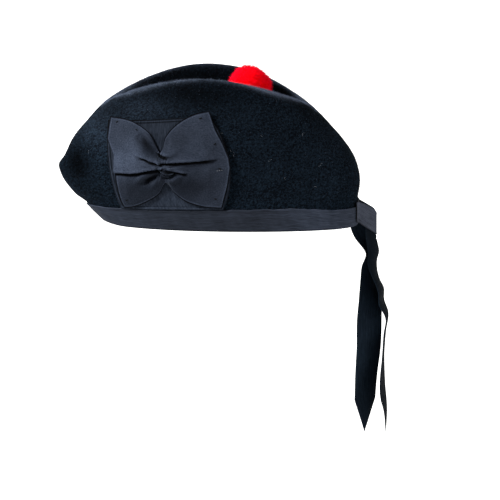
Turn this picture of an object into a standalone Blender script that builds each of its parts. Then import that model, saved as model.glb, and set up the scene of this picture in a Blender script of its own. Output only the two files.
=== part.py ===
"""A glengarry: creased felt crown, ribbon binding, cockade with a bow, pompom and two hanging ribbons.

Metres, +Z up. The front of the cap points to -Y and its left side, which carries the cockade, to +X.
The origin is the centre of the head opening, in the plane of the rim.
"""

import math
from functools import lru_cache
from typing import NamedTuple

import bmesh
import bpy
import numpy as np
from mathutils import Vector

# Head opening
RIM_LENGTH = 0.247
RIM_WIDTH = 0.098

# Felt crown
FELT = 0.0025
CROWN_HEIGHT = 0.1545
RIDGE_GAP = 0.067
RIDGE_ROUND = 0.008
PEAK_OVERHANG = 0.0443
BACK_LEAN = 0.0451
CREASE_DEPTH = 0.0405
CREASE_FRONT_HEIGHT = 0.1255
CREASE_REAR_HEIGHT = 0.1160
CREASE_RUN_IN = 0.009
CREASE_FULLNESS = 2.1

# Ribbon
RIBBON = 0.0010
CLEARANCE = 0.0003
RIBBON_STAND = 0.0008
BAND_HEIGHT = 0.0240
BAND_RETURN = 0.0100
TAIL_WIDTH = 0.0250
TAIL_LENGTH = 0.2130
TAIL_SPREAD = 0.0200

# Folded loop behind the head
LOOP_WIDTH = 0.0215
LOOP_REACH = 0.0190
LOOP_HALF_SPAN = 0.0180
LOOP_SEAM = 0.0060
LOOP_DROP = 0.0145
LOOP_FOLD = 0.0030

# Cockade on the left side
COCKADE_Y = -0.0690
COCKADE_Z = 0.0670
PANEL_WIDTH = 0.0990
PANEL_TOP = 0.1114
PANEL_SHIFT = 0.0055
PANEL_SLANT = 0.0063
PANEL_BULGE = 0.0110
PANEL_RISE = 0.0052
BOW_LENGTH = 0.1140
BOW_HEIGHT = 0.0930
BOW_CLEARANCE = 0.0005
BOW_PLEAT = 0.0030
BOW_LIFT = 0.0042

# Pompom
POMPOM = 0.0430
POMPOM_Y = 0.0186
POMPOM_SQUEEZE = 0.92
TUFT_DEPTH = 0.0042
TUFT_GAP = 0.0006

# Fineness of the facets
CROWN_COLUMNS = 22
SIDE_ROWS = 11
FOLD_ROWS = 3
CREASE_ROWS = 5
BAND_ROWS = 3

HALF_LENGTH = RIM_LENGTH / 2
HALF_WIDTH = RIM_WIDTH / 2
FELT_EDGE = RIBBON + CLEARANCE
# How far the crown's inner form runs out below the felt's edge
CUT_RUN_OUT = 2 * FELT


class Section(NamedTuple):
    """A level line of the crown's side, from the rim (up = 0) to the ridge fold (up = 1)."""

    up: float
    front_out: float
    front_height: float
    back_in: float
    back_height: float
    lean_in: float
    side_height: float
    widest: float
    front_round: float
    back_round: float
    flat: float


# Reach is in shares of PEAK_OVERHANG and BACK_LEAN, heights of CROWN_HEIGHT,
# lean of the step from half the rim's width to half of RIDGE_GAP.
SECTIONS = (
    Section(0.000, 0.03, 0.000, 0.00, 0.000, 0.00, 0.000, 0.570, 0.52, 0.25, 0.50),
    Section(0.145, 0.40, 0.120, -0.02, 0.156, -0.08, 0.156, 0.575, 0.53, 0.28, 0.20),
    Section(0.240, 0.67, 0.179, -0.04, 0.220, -0.12, 0.222, 0.580, 0.54, 0.32, 0.25),
    Section(0.445, 1.00, 0.372, 0.01, 0.337, -0.17, 0.392, 0.590, 0.58, 0.42, 0.40),
    Section(0.510, 0.90, 0.434, 0.08, 0.402, -0.15, 0.460, 0.590, 0.60, 0.46, 0.45),
    Section(0.610, 0.73, 0.533, 0.28, 0.519, -0.06, 0.588, 0.600, 0.62, 0.55, 0.55),
    Section(0.740, 0.44, 0.644, 0.50, 0.607, 0.17, 0.730, 0.610, 0.66, 0.68, 0.65),
    Section(0.885, 0.08, 0.758, 0.76, 0.690, 0.57, 0.885, 0.625, 0.70, 0.85, 0.75),
    Section(1.000, -0.17, 0.800, 1.00, 0.750, 1.00, 1.016, 0.640, 0.75, 1.05, 0.85),
)


class TailRow(NamedTuple):
    """A place along a hanging ribbon: shares of TAIL_LENGTH, TAIL_SPREAD and TAIL_WIDTH, and degrees."""

    drop: float
    back: float
    side: float
    width: float
    facing: float
    cup: float


# The broad ribbon, pinched below the loop and then almost flat to the left side
BROAD_TAIL = (
    TailRow(0.000, 0.26, -0.03, 0.90, 0, 4),
    TailRow(0.040, 0.27, -0.03, 0.90, 0, 4),
    TailRow(0.070, 0.31, -0.04, 0.90, 2, 6),
    TailRow(0.098, 0.48, -0.16, 0.92, 30, 40),
    TailRow(0.125, 0.62, -0.26, 0.94, 50, 60),
    TailRow(0.160, 0.66, -0.32, 0.92, 56, 70),
    TailRow(0.220, 0.60, -0.30, 0.94, 50, 60),
    TailRow(0.300, 0.57, -0.24, 0.97, 44, 50),
    TailRow(0.380, 0.63, -0.12, 1.00, 28, 36),
    TailRow(0.480, 0.60, 0.00, 1.00, 10, 30),
    TailRow(0.600, 0.59, 0.04, 1.00, 16, 30),
    TailRow(0.720, 0.50, 0.04, 1.00, 28, 34),
    TailRow(0.840, 0.44, 0.04, 1.00, 34, 36),
    TailRow(1.000, 0.36, 0.02, 1.00, 34, 30),
)

# The other ribbon, which crosses over it at the top and turns edge-on behind it
TURNED_TAIL = (
    TailRow(0.000, 0.515, 0.330, 0.60, 46, 4),
    TailRow(0.040, 0.515, 0.330, 0.60, 46, 4),
    TailRow(0.068, 0.550, 0.310, 0.61, 47, 12),
    TailRow(0.105, 0.760, 0.200, 0.70, 50, 40),
    TailRow(0.160, 0.880, 0.10, 0.82, 54, 50),
    TailRow(0.190, 0.830, 0.08, 0.88, 62, 50),
    TailRow(0.255, 0.960, 0.06, 0.95, 78, 40),
    TailRow(0.290, 1.120, 0.04, 1.00, 84, 34),
    TailRow(0.330, 1.330, 0.00, 1.00, 86, 26),
    TailRow(0.385, 1.330, -0.04, 1.00, 88, 14),
    TailRow(0.450, 1.520, -0.05, 1.00, 86, 14),
    TailRow(0.525, 1.410, -0.04, 1.00, 88, 12),
    TailRow(0.630, 1.330, 0.00, 1.00, 88, 12),
    TailRow(0.810, 1.300, 0.02, 1.00, 78, 14),
    TailRow(0.890, 1.420, 0.02, 1.00, 82, 14),
    TailRow(1.000, 1.430, 0.02, 1.00, 84, 10),
)

# Where the pointed end of a tail begins, as a share of its length
POINT_START = 0.845
TAIL_ROWS = 30
TAIL_FACETS = 4


class BowRow(NamedTuple):
    """A station along the bow, from its front edge to its rear edge, in shares of the half sizes."""

    along: float
    top_y: float
    top_z: float
    low_y: float
    low_z: float
    bulge: float


BOW_ROWS = (
    BowRow(-1.00, -0.835, 0.915, -0.625, -0.955, -0.110),
    BowRow(-0.75, -0.600, 0.910, -0.440, -0.915, -0.070),
    BowRow(-0.50, -0.400, 0.845, -0.220, -0.790, -0.030),
    BowRow(-0.25, -0.180, 0.660, -0.020, -0.615, -0.005),
    BowRow(0.00, 0.005, 0.290, 0.102, -0.367, 0.000),
    BowRow(0.25, 0.100, 0.620, 0.240, -0.570, 0.020),
    BowRow(0.50, 0.300, 0.890, 0.440, -0.755, 0.070),
    BowRow(0.75, 0.560, 1.080, 0.720, -0.865, 0.140),
    BowRow(1.00, 0.840, 1.170, 1.070, -0.900, 0.210),
)
PANEL_COLUMNS = 14
PANEL_ROWS = 10
BOW_COLUMNS = 24
BOW_ACROSS = 18


class Crease(NamedTuple):
    """A fold line on the bow: ends in shares of its half sizes, depth and width of BOW_PLEAT."""

    start_y: float
    start_z: float
    end_y: float
    end_z: float
    depth: float
    width: float
    step: float


# A positive depth is a valley and a negative one a raised tuck; step lifts the upper side
CREASES = (
    Crease(0.00, -0.05, -0.80, -0.20, 0.70, 0.65, 0.45),
    Crease(0.02, 0.02, 0.92, 0.12, 0.65, 0.60, 0.40),
    Crease(0.06, -0.08, 0.52, -0.24, 0.55, 0.70, 0.00),
    Crease(-0.04, 0.03, -0.40, 0.17, 0.60, 0.60, 0.10),
    Crease(-0.06, 0.24, -0.36, 0.48, 0.45, 1.10, 0.00),
    Crease(0.02, -0.22, -0.26, -0.38, 0.50, 0.80, 0.15),
    Crease(0.04, 0.12, 0.22, 0.24, 0.45, 0.60, 0.10),
    Crease(0.04, -0.14, 0.26, -0.15, -0.50, 0.80, 0.00),
)


def smooth(rows, key, column, place):
    """Value of a table's column at a place between its rows, on a cubic through all of them."""
    knots = [getattr(row, key) for row in rows]
    values = [getattr(row, column) for row in rows]
    slopes = []
    for i in range(len(knots)):
        low, high = max(i - 1, 0), min(i + 1, len(knots) - 1)
        left = (values[i] - values[low]) / (knots[i] - knots[low]) if i > low else None
        right = (values[high] - values[i]) / (knots[high] - knots[i]) if high > i else None
        if left is None or right is None:
            slopes.append(right if left is None else left)
        else:
            before, after = knots[i] - knots[low], knots[high] - knots[i]
            slopes.append((left * after + right * before) / (before + after))
    i = min(max(int(np.searchsorted(knots, place, side="right")) - 1, 0), len(knots) - 2)
    step = knots[i + 1] - knots[i]
    k = (place - knots[i]) / step
    return (
        values[i] * (2 * k**3 - 3 * k**2 + 1)
        + slopes[i] * step * (k**3 - 2 * k**2 + k)
        + values[i + 1] * (3 * k**2 - 2 * k**3)
        + slopes[i + 1] * step * (k**3 - k**2)
    )


def mix(first, second, share):
    """Straight mix of two values or vectors."""
    return first + (second - first) * share


def arch(along, flat):
    """Rise from nothing at both ends to 1 in the middle."""
    return max(math.sin(math.pi * along), 0.0) ** flat


def plan(along, widest, front_round, back_round):
    """Share of the half width at a place along a level line, seen from above."""
    if along < widest:
        ahead = 1 - along / widest
        return max(1 - ahead**2, 0.0) ** front_round
    behind = (along - widest) / (1 - widest)
    return max(1 - behind**2.1, 0.0) ** back_round


@lru_cache(maxsize=None)
def section_at(up):
    """The level line at any height, between those of the table."""
    return Section(*(smooth(SECTIONS, "up", name, up) for name in Section._fields))


def side_point(along, up, inset=0.0):
    """Point of the crown's left side; inset gives the felt's inner face."""
    s = section_at(up)
    front = -HALF_LENGTH - PEAK_OVERHANG * s.front_out + 1.3 * inset
    back = HALF_LENGTH - BACK_LEAN * s.back_in - 1.1 * inset
    front_z = CROWN_HEIGHT * s.front_height - 1.5 * inset * up**2
    back_z = CROWN_HEIGHT * s.back_height - 1.5 * inset * up**2
    side_z = CROWN_HEIGHT * s.side_height - 2.56 * inset * up**3
    half = mix(HALF_WIDTH, RIDGE_GAP / 2, s.lean_in) - 1.05 * inset * (1 - up**4)
    shape = plan(along, s.widest, s.front_round, s.back_round)
    rise = arch(along, max(s.flat, 0.1))
    z = mix(front_z, back_z, along) + (side_z - (front_z + back_z) / 2) * rise
    return Vector((half * shape, mix(front, back, along), z))


def crease_point(along, inward, inset=0.0):
    """Point of the creased top, from the ridge fold (inward = 0) to the middle of the crease (1)."""
    ridge = side_point(along, 1.0, inset)
    run_in = CREASE_RUN_IN + 0.6 * inset
    front = side_point(0, 1.0, inset).y + run_in
    back = side_point(1, 1.0, inset).y - run_in
    ends = mix(CREASE_FRONT_HEIGHT, CREASE_REAR_HEIGHT, along) - 1.45 * inset
    middle = CROWN_HEIGHT - CREASE_DEPTH - 1.45 * inset
    halfway = (CREASE_FRONT_HEIGHT + CREASE_REAR_HEIGHT) / 2 - 1.45 * inset
    floor = ends + (middle - halfway) * arch(along, 0.8)
    outward = 1 - inward
    y = mix(ridge.y, mix(front, back, along), inward)
    z = floor + (ridge.z - floor) * outward**CREASE_FULLNESS
    return Vector((ridge.x * outward, y, z))


def crown_column(along, inset=0.0):
    """Points of one column of the crown, from the rim over the rounded ridge to the crease."""
    last = 1 - RIDGE_ROUND / (CROWN_HEIGHT * 0.72)
    rows = [side_point(along, last * i / SIDE_ROWS, inset) for i in range(SIDE_ROWS)]
    before = side_point(along, last, inset)
    corner = side_point(along, 1.0, inset)
    first = RIDGE_ROUND / math.hypot(CREASE_DEPTH, RIDGE_GAP / 2)
    after = crease_point(along, first, inset)
    for i in range(FOLD_ROWS + 1):
        k = i / FOLD_ROWS
        rows.append(before * (1 - k) ** 2 + corner * 2 * k * (1 - k) + after * k**2)
    for i in range(1, CREASE_ROWS + 1):
        rows.append(crease_point(along, mix(first, 1.0, i / CREASE_ROWS), inset))
    return rows


def along_at(index, count):
    """Places from the front to the back, closer together at both ends."""
    return (1 - math.cos(math.pi * index / count)) / 2


def outward_of(along, up, inset=0.0):
    """Outward direction of the crown's left side."""
    along_low, along_high = max(along - 0.004, 0.0), min(along + 0.004, 1.0)
    up_low, up_high = max(up - 0.01, 0.0), min(up + 0.01, 1.0)
    run = side_point(along_high, up, inset) - side_point(along_low, up, inset)
    rise = side_point(along, up_high, inset) - side_point(along, up_low, inset)
    if along in (0.0, 1.0):
        run = Vector((1.0 if along == 0.0 else -1.0, 0.0, 0.0))
    return run.cross(rise).normalized()


def up_at_height(along, height, inset=0.0):
    """How far up a column lies a given length of wall, measured on its surface from the rim."""
    steps = 60
    walked = 0.0
    last = side_point(along, 0.0, inset)
    for i in range(1, steps + 1):
        here = side_point(along, 0.5 * i / steps, inset)
        step = (here - last).length
        if walked + step >= height:
            return 0.5 * (i - 1 + (height - walked) / step) / steps
        walked += step
        last = here
    return 0.5


def wall_place(y, z):
    """The (along, up) place on the left side that lies at a given y and z."""
    low, high = 0.0, 1.0
    along = 0.5
    for _ in range(24):
        up = (low + high) / 2
        front, back = side_point(0, up).y, side_point(1, up).y
        along = min(max((y - front) / (back - front), 0.0), 1.0)
        if side_point(along, up).z < z:
            low = up
        else:
            high = up
    return along, (low + high) / 2


def on_wall(y, z, stand):
    """Point over the left side at a given y and z, standing off the felt."""
    along, up = wall_place(y, z)
    return side_point(along, up) + outward_of(along, up) * stand


def above_band(y):
    """Height on the left side just over the binding's top edge, at a given y."""
    z = BAND_HEIGHT
    for _ in range(4):
        along, _up = wall_place(y, z)
        z = side_point(along, up_at_height(along, BAND_HEIGHT + 2 * CLEARANCE)).z
    return z


def crease_height(x, y):
    """Height of the creased top over a plan point."""
    along, outward = 0.5, 0.0
    for _ in range(8):
        along += (y - crease_point(along, 1 - outward).y) / RIM_LENGTH
        along = min(max(along, 0.01), 0.99)
        outward = min(abs(x) / side_point(along, 1.0).x, 1.0)
    return crease_point(along, 1 - outward).z


def new_collection(name, hidden=False):
    """A collection of the scene."""
    collection = bpy.data.collections.new(name)
    collection.hide_render = hidden
    bpy.context.scene.collection.children.link(collection)
    return collection


def add_object(name, mesh_data, collection):
    """An object from a bmesh, linked to a collection."""
    mesh = bpy.data.meshes.new(name)
    mesh_data.to_mesh(mesh)
    mesh_data.free()
    obj = bpy.data.objects.new(name, mesh)
    collection.objects.link(obj)
    return obj


def sheet(rows):
    """A sheet through rows of points, made from a flat grid."""
    grid = bmesh.new()
    count, across = len(rows), len(rows[0])
    bmesh.ops.create_grid(grid, x_segments=count - 1, y_segments=across - 1, size=1.0)
    for vertex in grid.verts:
        row = round((vertex.co.x + 1) / 2 * (count - 1))
        column = round((vertex.co.y + 1) / 2 * (across - 1))
        vertex.co = rows[row][column]
    return grid


def add_solidify(obj, thickness, offset):
    """Wall thickness of a sheet."""
    wall = obj.modifiers.new("Wall", "SOLIDIFY")
    wall.thickness = thickness
    wall.offset = offset
    return wall


def material(name, colour, roughness):
    """A plain cloth material."""
    made = bpy.data.materials.new(name)
    made.use_nodes = True
    shader = made.node_tree.nodes["Principled BSDF"]
    shader.inputs["Base Color"].default_value = (*colour, 1.0)
    shader.inputs["Roughness"].default_value = roughness
    shader.inputs["Metallic"].default_value = 0.0
    return made


def dress(obj, made):
    """Gives an object its material and smooth shading with sharp creases."""
    obj.data.materials.append(made)
    obj.data.shade_smooth()
    obj.data.set_sharp_from_angle(angle=math.radians(45))


def closed_crown(name, inset, bottom, collection):
    """The crown's outer or inner form as one closed body with a flat bottom."""
    columns = []
    for i in range(CROWN_COLUMNS + 1):
        column = crown_column(along_at(i, CROWN_COLUMNS), inset)
        column[0].z = bottom
        columns.append(column)
    body = sheet(columns)
    for vertex in body.verts:
        if abs(vertex.co.x) < 1e-6:
            vertex.co.x = 0.0
    bmesh.ops.mirror(body, geom=body.verts[:] + body.edges[:] + body.faces[:], axis="X", merge_dist=1e-6)
    bmesh.ops.remove_doubles(body, verts=body.verts, dist=1e-6)
    rim = [edge for edge in body.edges if edge.is_boundary]
    bmesh.ops.contextual_create(body, geom=rim)
    bmesh.ops.triangulate(body, faces=[face for face in body.faces if len(face.verts) > 4])
    bmesh.ops.recalc_face_normals(body, faces=body.faces)
    return add_object(name, body, collection)


def build_crown(parts, cutters, made):
    """The felt crown, hollow and open at the rim."""
    crown = closed_crown("crown", 0.0, FELT_EDGE, parts)
    hollow = closed_crown("crown_hollow", FELT, FELT_EDGE - CUT_RUN_OUT, cutters)
    hollow.hide_render = True
    hollow.display_type = "WIRE"
    cut = crown.modifiers.new("Hollow", "BOOLEAN")
    cut.operation = "DIFFERENCE"
    cut.solver = "EXACT"
    cut.object = hollow
    dress(crown, made)


def band_profile(along):
    """Middle line of the binding at one column: down the outside, round the felt's edge, up inside."""
    stand = RIBBON_STAND + RIBBON / 2
    top = up_at_height(along, BAND_HEIGHT)
    outer = []
    for i in range(BAND_ROWS + 1):
        up = top * (1 - i / BAND_ROWS)
        outer.append(side_point(along, up) + outward_of(along, max(up, 0.02)) * stand)
    inner_top = up_at_height(along, BAND_RETURN, FELT)
    inner = []
    for i in range(3):
        up = inner_top * i / 2
        inner.append(side_point(along, up, FELT) - outward_of(along, max(up, 0.02), FELT) * stand)
    outer[-1].z = FELT_EDGE
    inner[0].z = FELT_EDGE
    under = [mix(outer[-1], inner[0], k) for k in (0.12, 0.5, 0.88)]
    for point in under:
        point.z = RIBBON / 2
    return outer + under + inner


def build_band(parts, made):
    """The ribbon that binds the felt's edge all round."""
    profiles = [band_profile(along_at(i, CROWN_COLUMNS)) for i in range(CROWN_COLUMNS + 1)]
    band = sheet(profiles)
    for vertex in band.verts:
        if abs(vertex.co.x) < 1e-6:
            vertex.co.x = 0.0
    bmesh.ops.mirror(band, geom=band.verts[:] + band.edges[:] + band.faces[:], axis="X", merge_dist=1e-6)
    bmesh.ops.remove_doubles(band, verts=band.verts, dist=1e-6)
    bmesh.ops.recalc_face_normals(band, faces=band.faces)
    obj = add_object("band", band, parts)
    add_solidify(obj, RIBBON, 0.0)
    dress(obj, made)
    return obj


def behind_wall(x, stand):
    """Plan point over the back of the head opening at a given x."""
    low, high = 0.8, 1.0
    for _ in range(24):
        along = (low + high) / 2
        if side_point(along, 0.08).x > x:
            low = along
        else:
            high = along
    point = side_point(low, 0.08) + outward_of(low, 0.08) * stand
    return Vector((point.x, point.y, 0))


def loop_path():
    """Plan points of the folded loop, from its near end round the fold to its far end."""
    stand = RIBBON_STAND + 1.5 * RIBBON + CLEARANCE
    points = [behind_wall(LOOP_HALF_SPAN + LOOP_SEAM * (1 - i / 2), stand) for i in range(3)]
    leaving = points[-1]
    fold_y = HALF_LENGTH + LOOP_REACH - LOOP_FOLD
    turn = Vector((LOOP_FOLD, fold_y, 0))
    points += [mix(leaving, turn, i / 5) for i in range(1, 6)]
    for i in range(1, 4):
        angle = math.pi / 2 * i / 3
        points.append(Vector((LOOP_FOLD * math.cos(angle), fold_y + LOOP_FOLD * math.sin(angle), 0)))
    points[-1].x = 0.0
    return points + [Vector((-p.x, p.y, 0)) for p in reversed(points[:-1])]


def build_loop(parts, made):
    """The ribbon folded into a loop behind the head, over the join of the binding."""
    rows = []
    path = loop_path()
    start, reach = path[2].y, path[len(path) // 2].y - path[2].y
    for point in path:
        out = max((point.y - start) / reach, 0.0)
        row = []
        for i in range(4):
            share = i / 3
            z = CLEARANCE - LOOP_DROP * mix(out, out**0.7, share) + LOOP_WIDTH * share
            row.append(Vector((point.x, point.y, z)))
        rows.append(row)
    obj = add_object("back_loop", sheet(rows), parts)
    add_solidify(obj, RIBBON, 0.0)
    dress(obj, made)
    return obj


def tail_rows(table, top):
    """Rows of points across a hanging ribbon, cupped and turned as its table says."""
    rows = []
    for i in range(TAIL_ROWS + 1):
        drop = i / TAIL_ROWS
        value = {name: smooth(table, "drop", name, drop) for name in TailRow._fields}
        width = TAIL_WIDTH * value["width"]
        if drop > POINT_START:
            width *= max(1 - (drop - POINT_START) / (1 - POINT_START), 0.06)
        centre = Vector((
            TAIL_SPREAD * value["side"],
            HALF_LENGTH + TAIL_SPREAD * value["back"],
            top - TAIL_LENGTH * drop,
        ))
        facing = math.radians(value["facing"])
        across = Vector((-math.sin(facing), math.cos(facing), 0))
        normal = Vector((math.cos(facing), math.sin(facing), 0))
        cup = math.radians(max(value["cup"], 4.0))
        radius = width / cup
        row = []
        for j in range(TAIL_FACETS + 1):
            angle = cup * (j / TAIL_FACETS - 0.5)
            flat = radius * math.sin(angle)
            deep = radius * (math.cos(angle) - 1)
            row.append(centre + across * flat + normal * deep)
        rows.append(row)
    return rows


def build_tail(name, table, parts, made):
    """One hanging ribbon with a pointed end."""
    obj = add_object(name, sheet(tail_rows(table, -CLEARANCE)), parts)
    add_solidify(obj, RIBBON, 0.0)
    dress(obj, made)
    return obj


def build_panel(parts, made):
    """The cockade's backing, which follows the left side just above the binding."""
    rows = []
    for i in range(PANEL_COLUMNS + 1):
        a = 2 * i / PANEL_COLUMNS - 1
        middle = COCKADE_Y + PANEL_SHIFT + PANEL_WIDTH / 2 * a
        bottom = above_band(middle + PANEL_SLANT)
        top = PANEL_TOP + PANEL_RISE * a
        row = []
        for j in range(PANEL_ROWS + 1):
            b = 2 * j / PANEL_ROWS - 1
            bulge = PANEL_BULGE * (1 - b * b) * (a + 0.2)
            y = middle - PANEL_SLANT * b + bulge
            row.append(on_wall(y, mix(bottom, top, (1 + b) / 2), RIBBON_STAND))
        rows.append(row)
    obj = add_object("cockade_panel", sheet(rows), parts)
    add_solidify(obj, RIBBON, 1.0)
    dress(obj, made)
    return obj


def crease_lift(crease, y, z):
    """Lift that one crease gives the bow's cloth at a place in shares of its half sizes."""
    half_y, half_z = BOW_LENGTH / 2, BOW_HEIGHT / 2
    run = Vector(((crease.end_y - crease.start_y) * half_y, (crease.end_z - crease.start_z) * half_z))
    here = Vector(((y - crease.start_y) * half_y, (z - crease.start_z) * half_z))
    length = run.length
    share = min(max(here.dot(run) / length**2, 0.0), 1.0)
    off = here - run * share
    side = off.dot(Vector((-run.y, run.x)) / length) * (1 if run.x > 0 else -1)
    width = crease.width * BOW_PLEAT
    fade = (1 - share) ** 0.6
    near = math.exp(-((off.length / width) ** 2))
    over = math.exp(-((off.length / (4 * width)) ** 2)) * math.tanh(side / width)
    return BOW_PLEAT * fade * (crease.step * over - crease.depth * near)


def bow_lift(y, z, edge):
    """How far the bow's cloth stands off its seat; edge is 0 at its hem and 1 well inside."""
    swell = BOW_LIFT * edge * math.exp(-((y / 0.75) ** 2))
    folds = sum(crease_lift(crease, y, z) for crease in CREASES)
    return max(swell + edge * folds, 0.0)


def build_bow(parts, made):
    """The bow: one gathered ribbon whose two wings widen from the knot."""
    half_y, half_z = BOW_LENGTH / 2, BOW_HEIGHT / 2
    seat = RIBBON_STAND + RIBBON + BOW_CLEARANCE
    rows = []
    for i in range(BOW_COLUMNS + 1):
        along = 2 * i / BOW_COLUMNS - 1
        value = {name: smooth(BOW_ROWS, "along", name, along) for name in BowRow._fields}
        row = []
        for j in range(BOW_ACROSS + 1):
            across = 2 * j / BOW_ACROSS - 1
            up_share, low_share = (1 + across) / 2, (1 - across) / 2
            y = value["top_y"] * up_share + value["low_y"] * low_share + value["bulge"] * (1 - across**2)
            z = value["top_z"] * up_share + value["low_z"] * low_share
            edge = (1 - across**2) ** 0.5 * min((1 - abs(along)) * 4, 1.0)
            lift = bow_lift(y, z, edge)
            row.append(on_wall(COCKADE_Y + half_y * y, COCKADE_Z + half_z * z, seat + lift))
        rows.append(row)
    obj = add_object("cockade_bow", sheet(rows), parts)
    add_solidify(obj, RIBBON, 1.0)
    dress(obj, made)
    return obj


def build_pompom(parts, made):
    """The pompom: a round head whose every facet is drawn out into a tuft."""
    head = bmesh.new()
    radius = POMPOM / 2 - TUFT_DEPTH
    bmesh.ops.create_icosphere(head, subdivisions=3, radius=radius)
    random = np.random.default_rng(7)
    for face in head.faces[:]:
        depth = TUFT_DEPTH * random.uniform(0.65, 1.1)
        bmesh.ops.inset_individual(head, faces=[face], thickness=TUFT_GAP, depth=depth)
    bmesh.ops.scale(head, verts=head.verts, vec=(POMPOM_SQUEEZE, 1, 1))
    lower = [vertex.co for vertex in head.verts if vertex.co.z < 0]
    seat = max(crease_height(place.x, POMPOM_Y + place.y) - place.z for place in lower) + 2 * CLEARANCE
    bmesh.ops.translate(head, verts=head.verts, vec=(0, POMPOM_Y, seat))
    obj = add_object("pompom", head, parts)
    dress(obj, made)
    return obj


def main():
    """Builds the cap."""
    for obj in list(bpy.data.objects):
        bpy.data.objects.remove(obj, do_unlink=True)
    parts = new_collection("glengarry")
    cutters = new_collection("cutters", hidden=True)
    felt = material("felt", (0.006, 0.009, 0.013), 0.95)
    binding = material("binding", (0.024, 0.028, 0.037), 0.80)
    ribbon = material("tail_ribbon", (0.006, 0.008, 0.011), 0.75)
    cockade_cloth = material("cockade_cloth", (0.022, 0.027, 0.036), 0.80)
    bow_cloth = material("bow_cloth", (0.032, 0.040, 0.055), 0.75)
    wool = material("wool", (0.90, 0.005, 0.010), 0.95)
    build_crown(parts, cutters, felt)
    build_band(parts, binding)
    build_loop(parts, binding)
    build_tail("tail_broad", BROAD_TAIL, parts, ribbon)
    build_tail("tail_turned", TURNED_TAIL, parts, ribbon)
    build_panel(parts, cockade_cloth)
    build_bow(parts, bow_cloth)
    build_pompom(parts, wool)


if __name__ == "__main__":
    main()
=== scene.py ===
"""Dresses the glengarry: felt, ribbon binding, cockade, pompom and hanging ribbons, with light and camera.

Metres, +Z up. The front of the cap points to -Y and its left side, which carries the cockade, to +X.
"""

import logging
import math
from collections.abc import Callable
from dataclasses import dataclass
from enum import Enum
from functools import lru_cache
from typing import NamedTuple, Union

import bmesh
import bpy
import numpy as np
from mathutils import Matrix, Vector, noise
from mathutils.bvhtree import BVHTree


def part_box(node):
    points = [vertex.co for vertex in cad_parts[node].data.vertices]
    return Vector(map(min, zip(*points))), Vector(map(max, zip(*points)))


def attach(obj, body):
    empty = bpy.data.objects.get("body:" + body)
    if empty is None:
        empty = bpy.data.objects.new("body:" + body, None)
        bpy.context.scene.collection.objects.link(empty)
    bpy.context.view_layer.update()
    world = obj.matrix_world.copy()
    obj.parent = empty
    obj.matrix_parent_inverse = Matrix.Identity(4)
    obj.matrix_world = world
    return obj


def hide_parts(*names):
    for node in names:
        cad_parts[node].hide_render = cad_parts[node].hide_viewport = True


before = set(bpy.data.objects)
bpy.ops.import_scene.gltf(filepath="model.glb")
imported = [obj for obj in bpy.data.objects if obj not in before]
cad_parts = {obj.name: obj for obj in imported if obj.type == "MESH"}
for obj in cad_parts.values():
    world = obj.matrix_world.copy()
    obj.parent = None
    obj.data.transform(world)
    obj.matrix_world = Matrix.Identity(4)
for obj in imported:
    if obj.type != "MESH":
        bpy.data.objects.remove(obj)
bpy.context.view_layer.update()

Number = float | np.ndarray
Mixed = float | Vector | np.ndarray
Socket = bpy.types.NodeSocket
Input = Union[Socket, float]

LOG = logging.getLogger("glengarry")
BODY = "root"
SAME_PLACE = 1e-6

# The photograph's frame: pixels, metres a pixel, and where the cap's origin lies in it
PHOTO_SIDE = 500
PIXEL = 0.98e-3
ORIGIN_PX = 231.0
ORIGIN_PY = 232.4
ORIGIN_DROP = 0.0119
CAMERA_RISE = math.radians(14)


def table(kind: type, *rows: tuple) -> tuple:
    """A table whose columns are named by the kind of its rows."""
    return tuple(kind(*row) for row in rows)


class Section(NamedTuple):
    """A level line of the crown's side, from the rim (up = 0) to the ridge fold (up = 1)."""

    up: float
    front_out: float
    front_height: float
    back_in: float
    back_height: float
    lean_in: float
    side_height: float
    widest: float
    front_round: float
    back_round: float
    flat: float


# Reach is in shares of the overhang and the lean, heights of the crown's height
SECTIONS = table(
    Section,
    (0.000, 0.03, 0.000, 0.00, 0.000, 0.00, 0.000, 0.570, 0.52, 0.25, 0.50),
    (0.145, 0.40, 0.120, -0.02, 0.156, -0.08, 0.156, 0.575, 0.53, 0.28, 0.20),
    (0.240, 0.67, 0.179, -0.04, 0.220, -0.12, 0.222, 0.580, 0.54, 0.32, 0.25),
    (0.445, 1.00, 0.372, 0.01, 0.337, -0.17, 0.392, 0.590, 0.58, 0.42, 0.40),
    (0.510, 0.90, 0.434, 0.08, 0.402, -0.15, 0.460, 0.590, 0.60, 0.46, 0.45),
    (0.610, 0.73, 0.533, 0.28, 0.519, -0.06, 0.588, 0.600, 0.62, 0.55, 0.55),
    (0.740, 0.44, 0.644, 0.50, 0.607, 0.17, 0.730, 0.610, 0.66, 0.68, 0.65),
    (0.885, 0.08, 0.758, 0.76, 0.690, 0.57, 0.885, 0.625, 0.70, 0.85, 0.75),
    (1.000, -0.17, 0.800, 1.00, 0.750, 1.00, 1.016, 0.640, 0.75, 1.05, 0.85),
)


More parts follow.
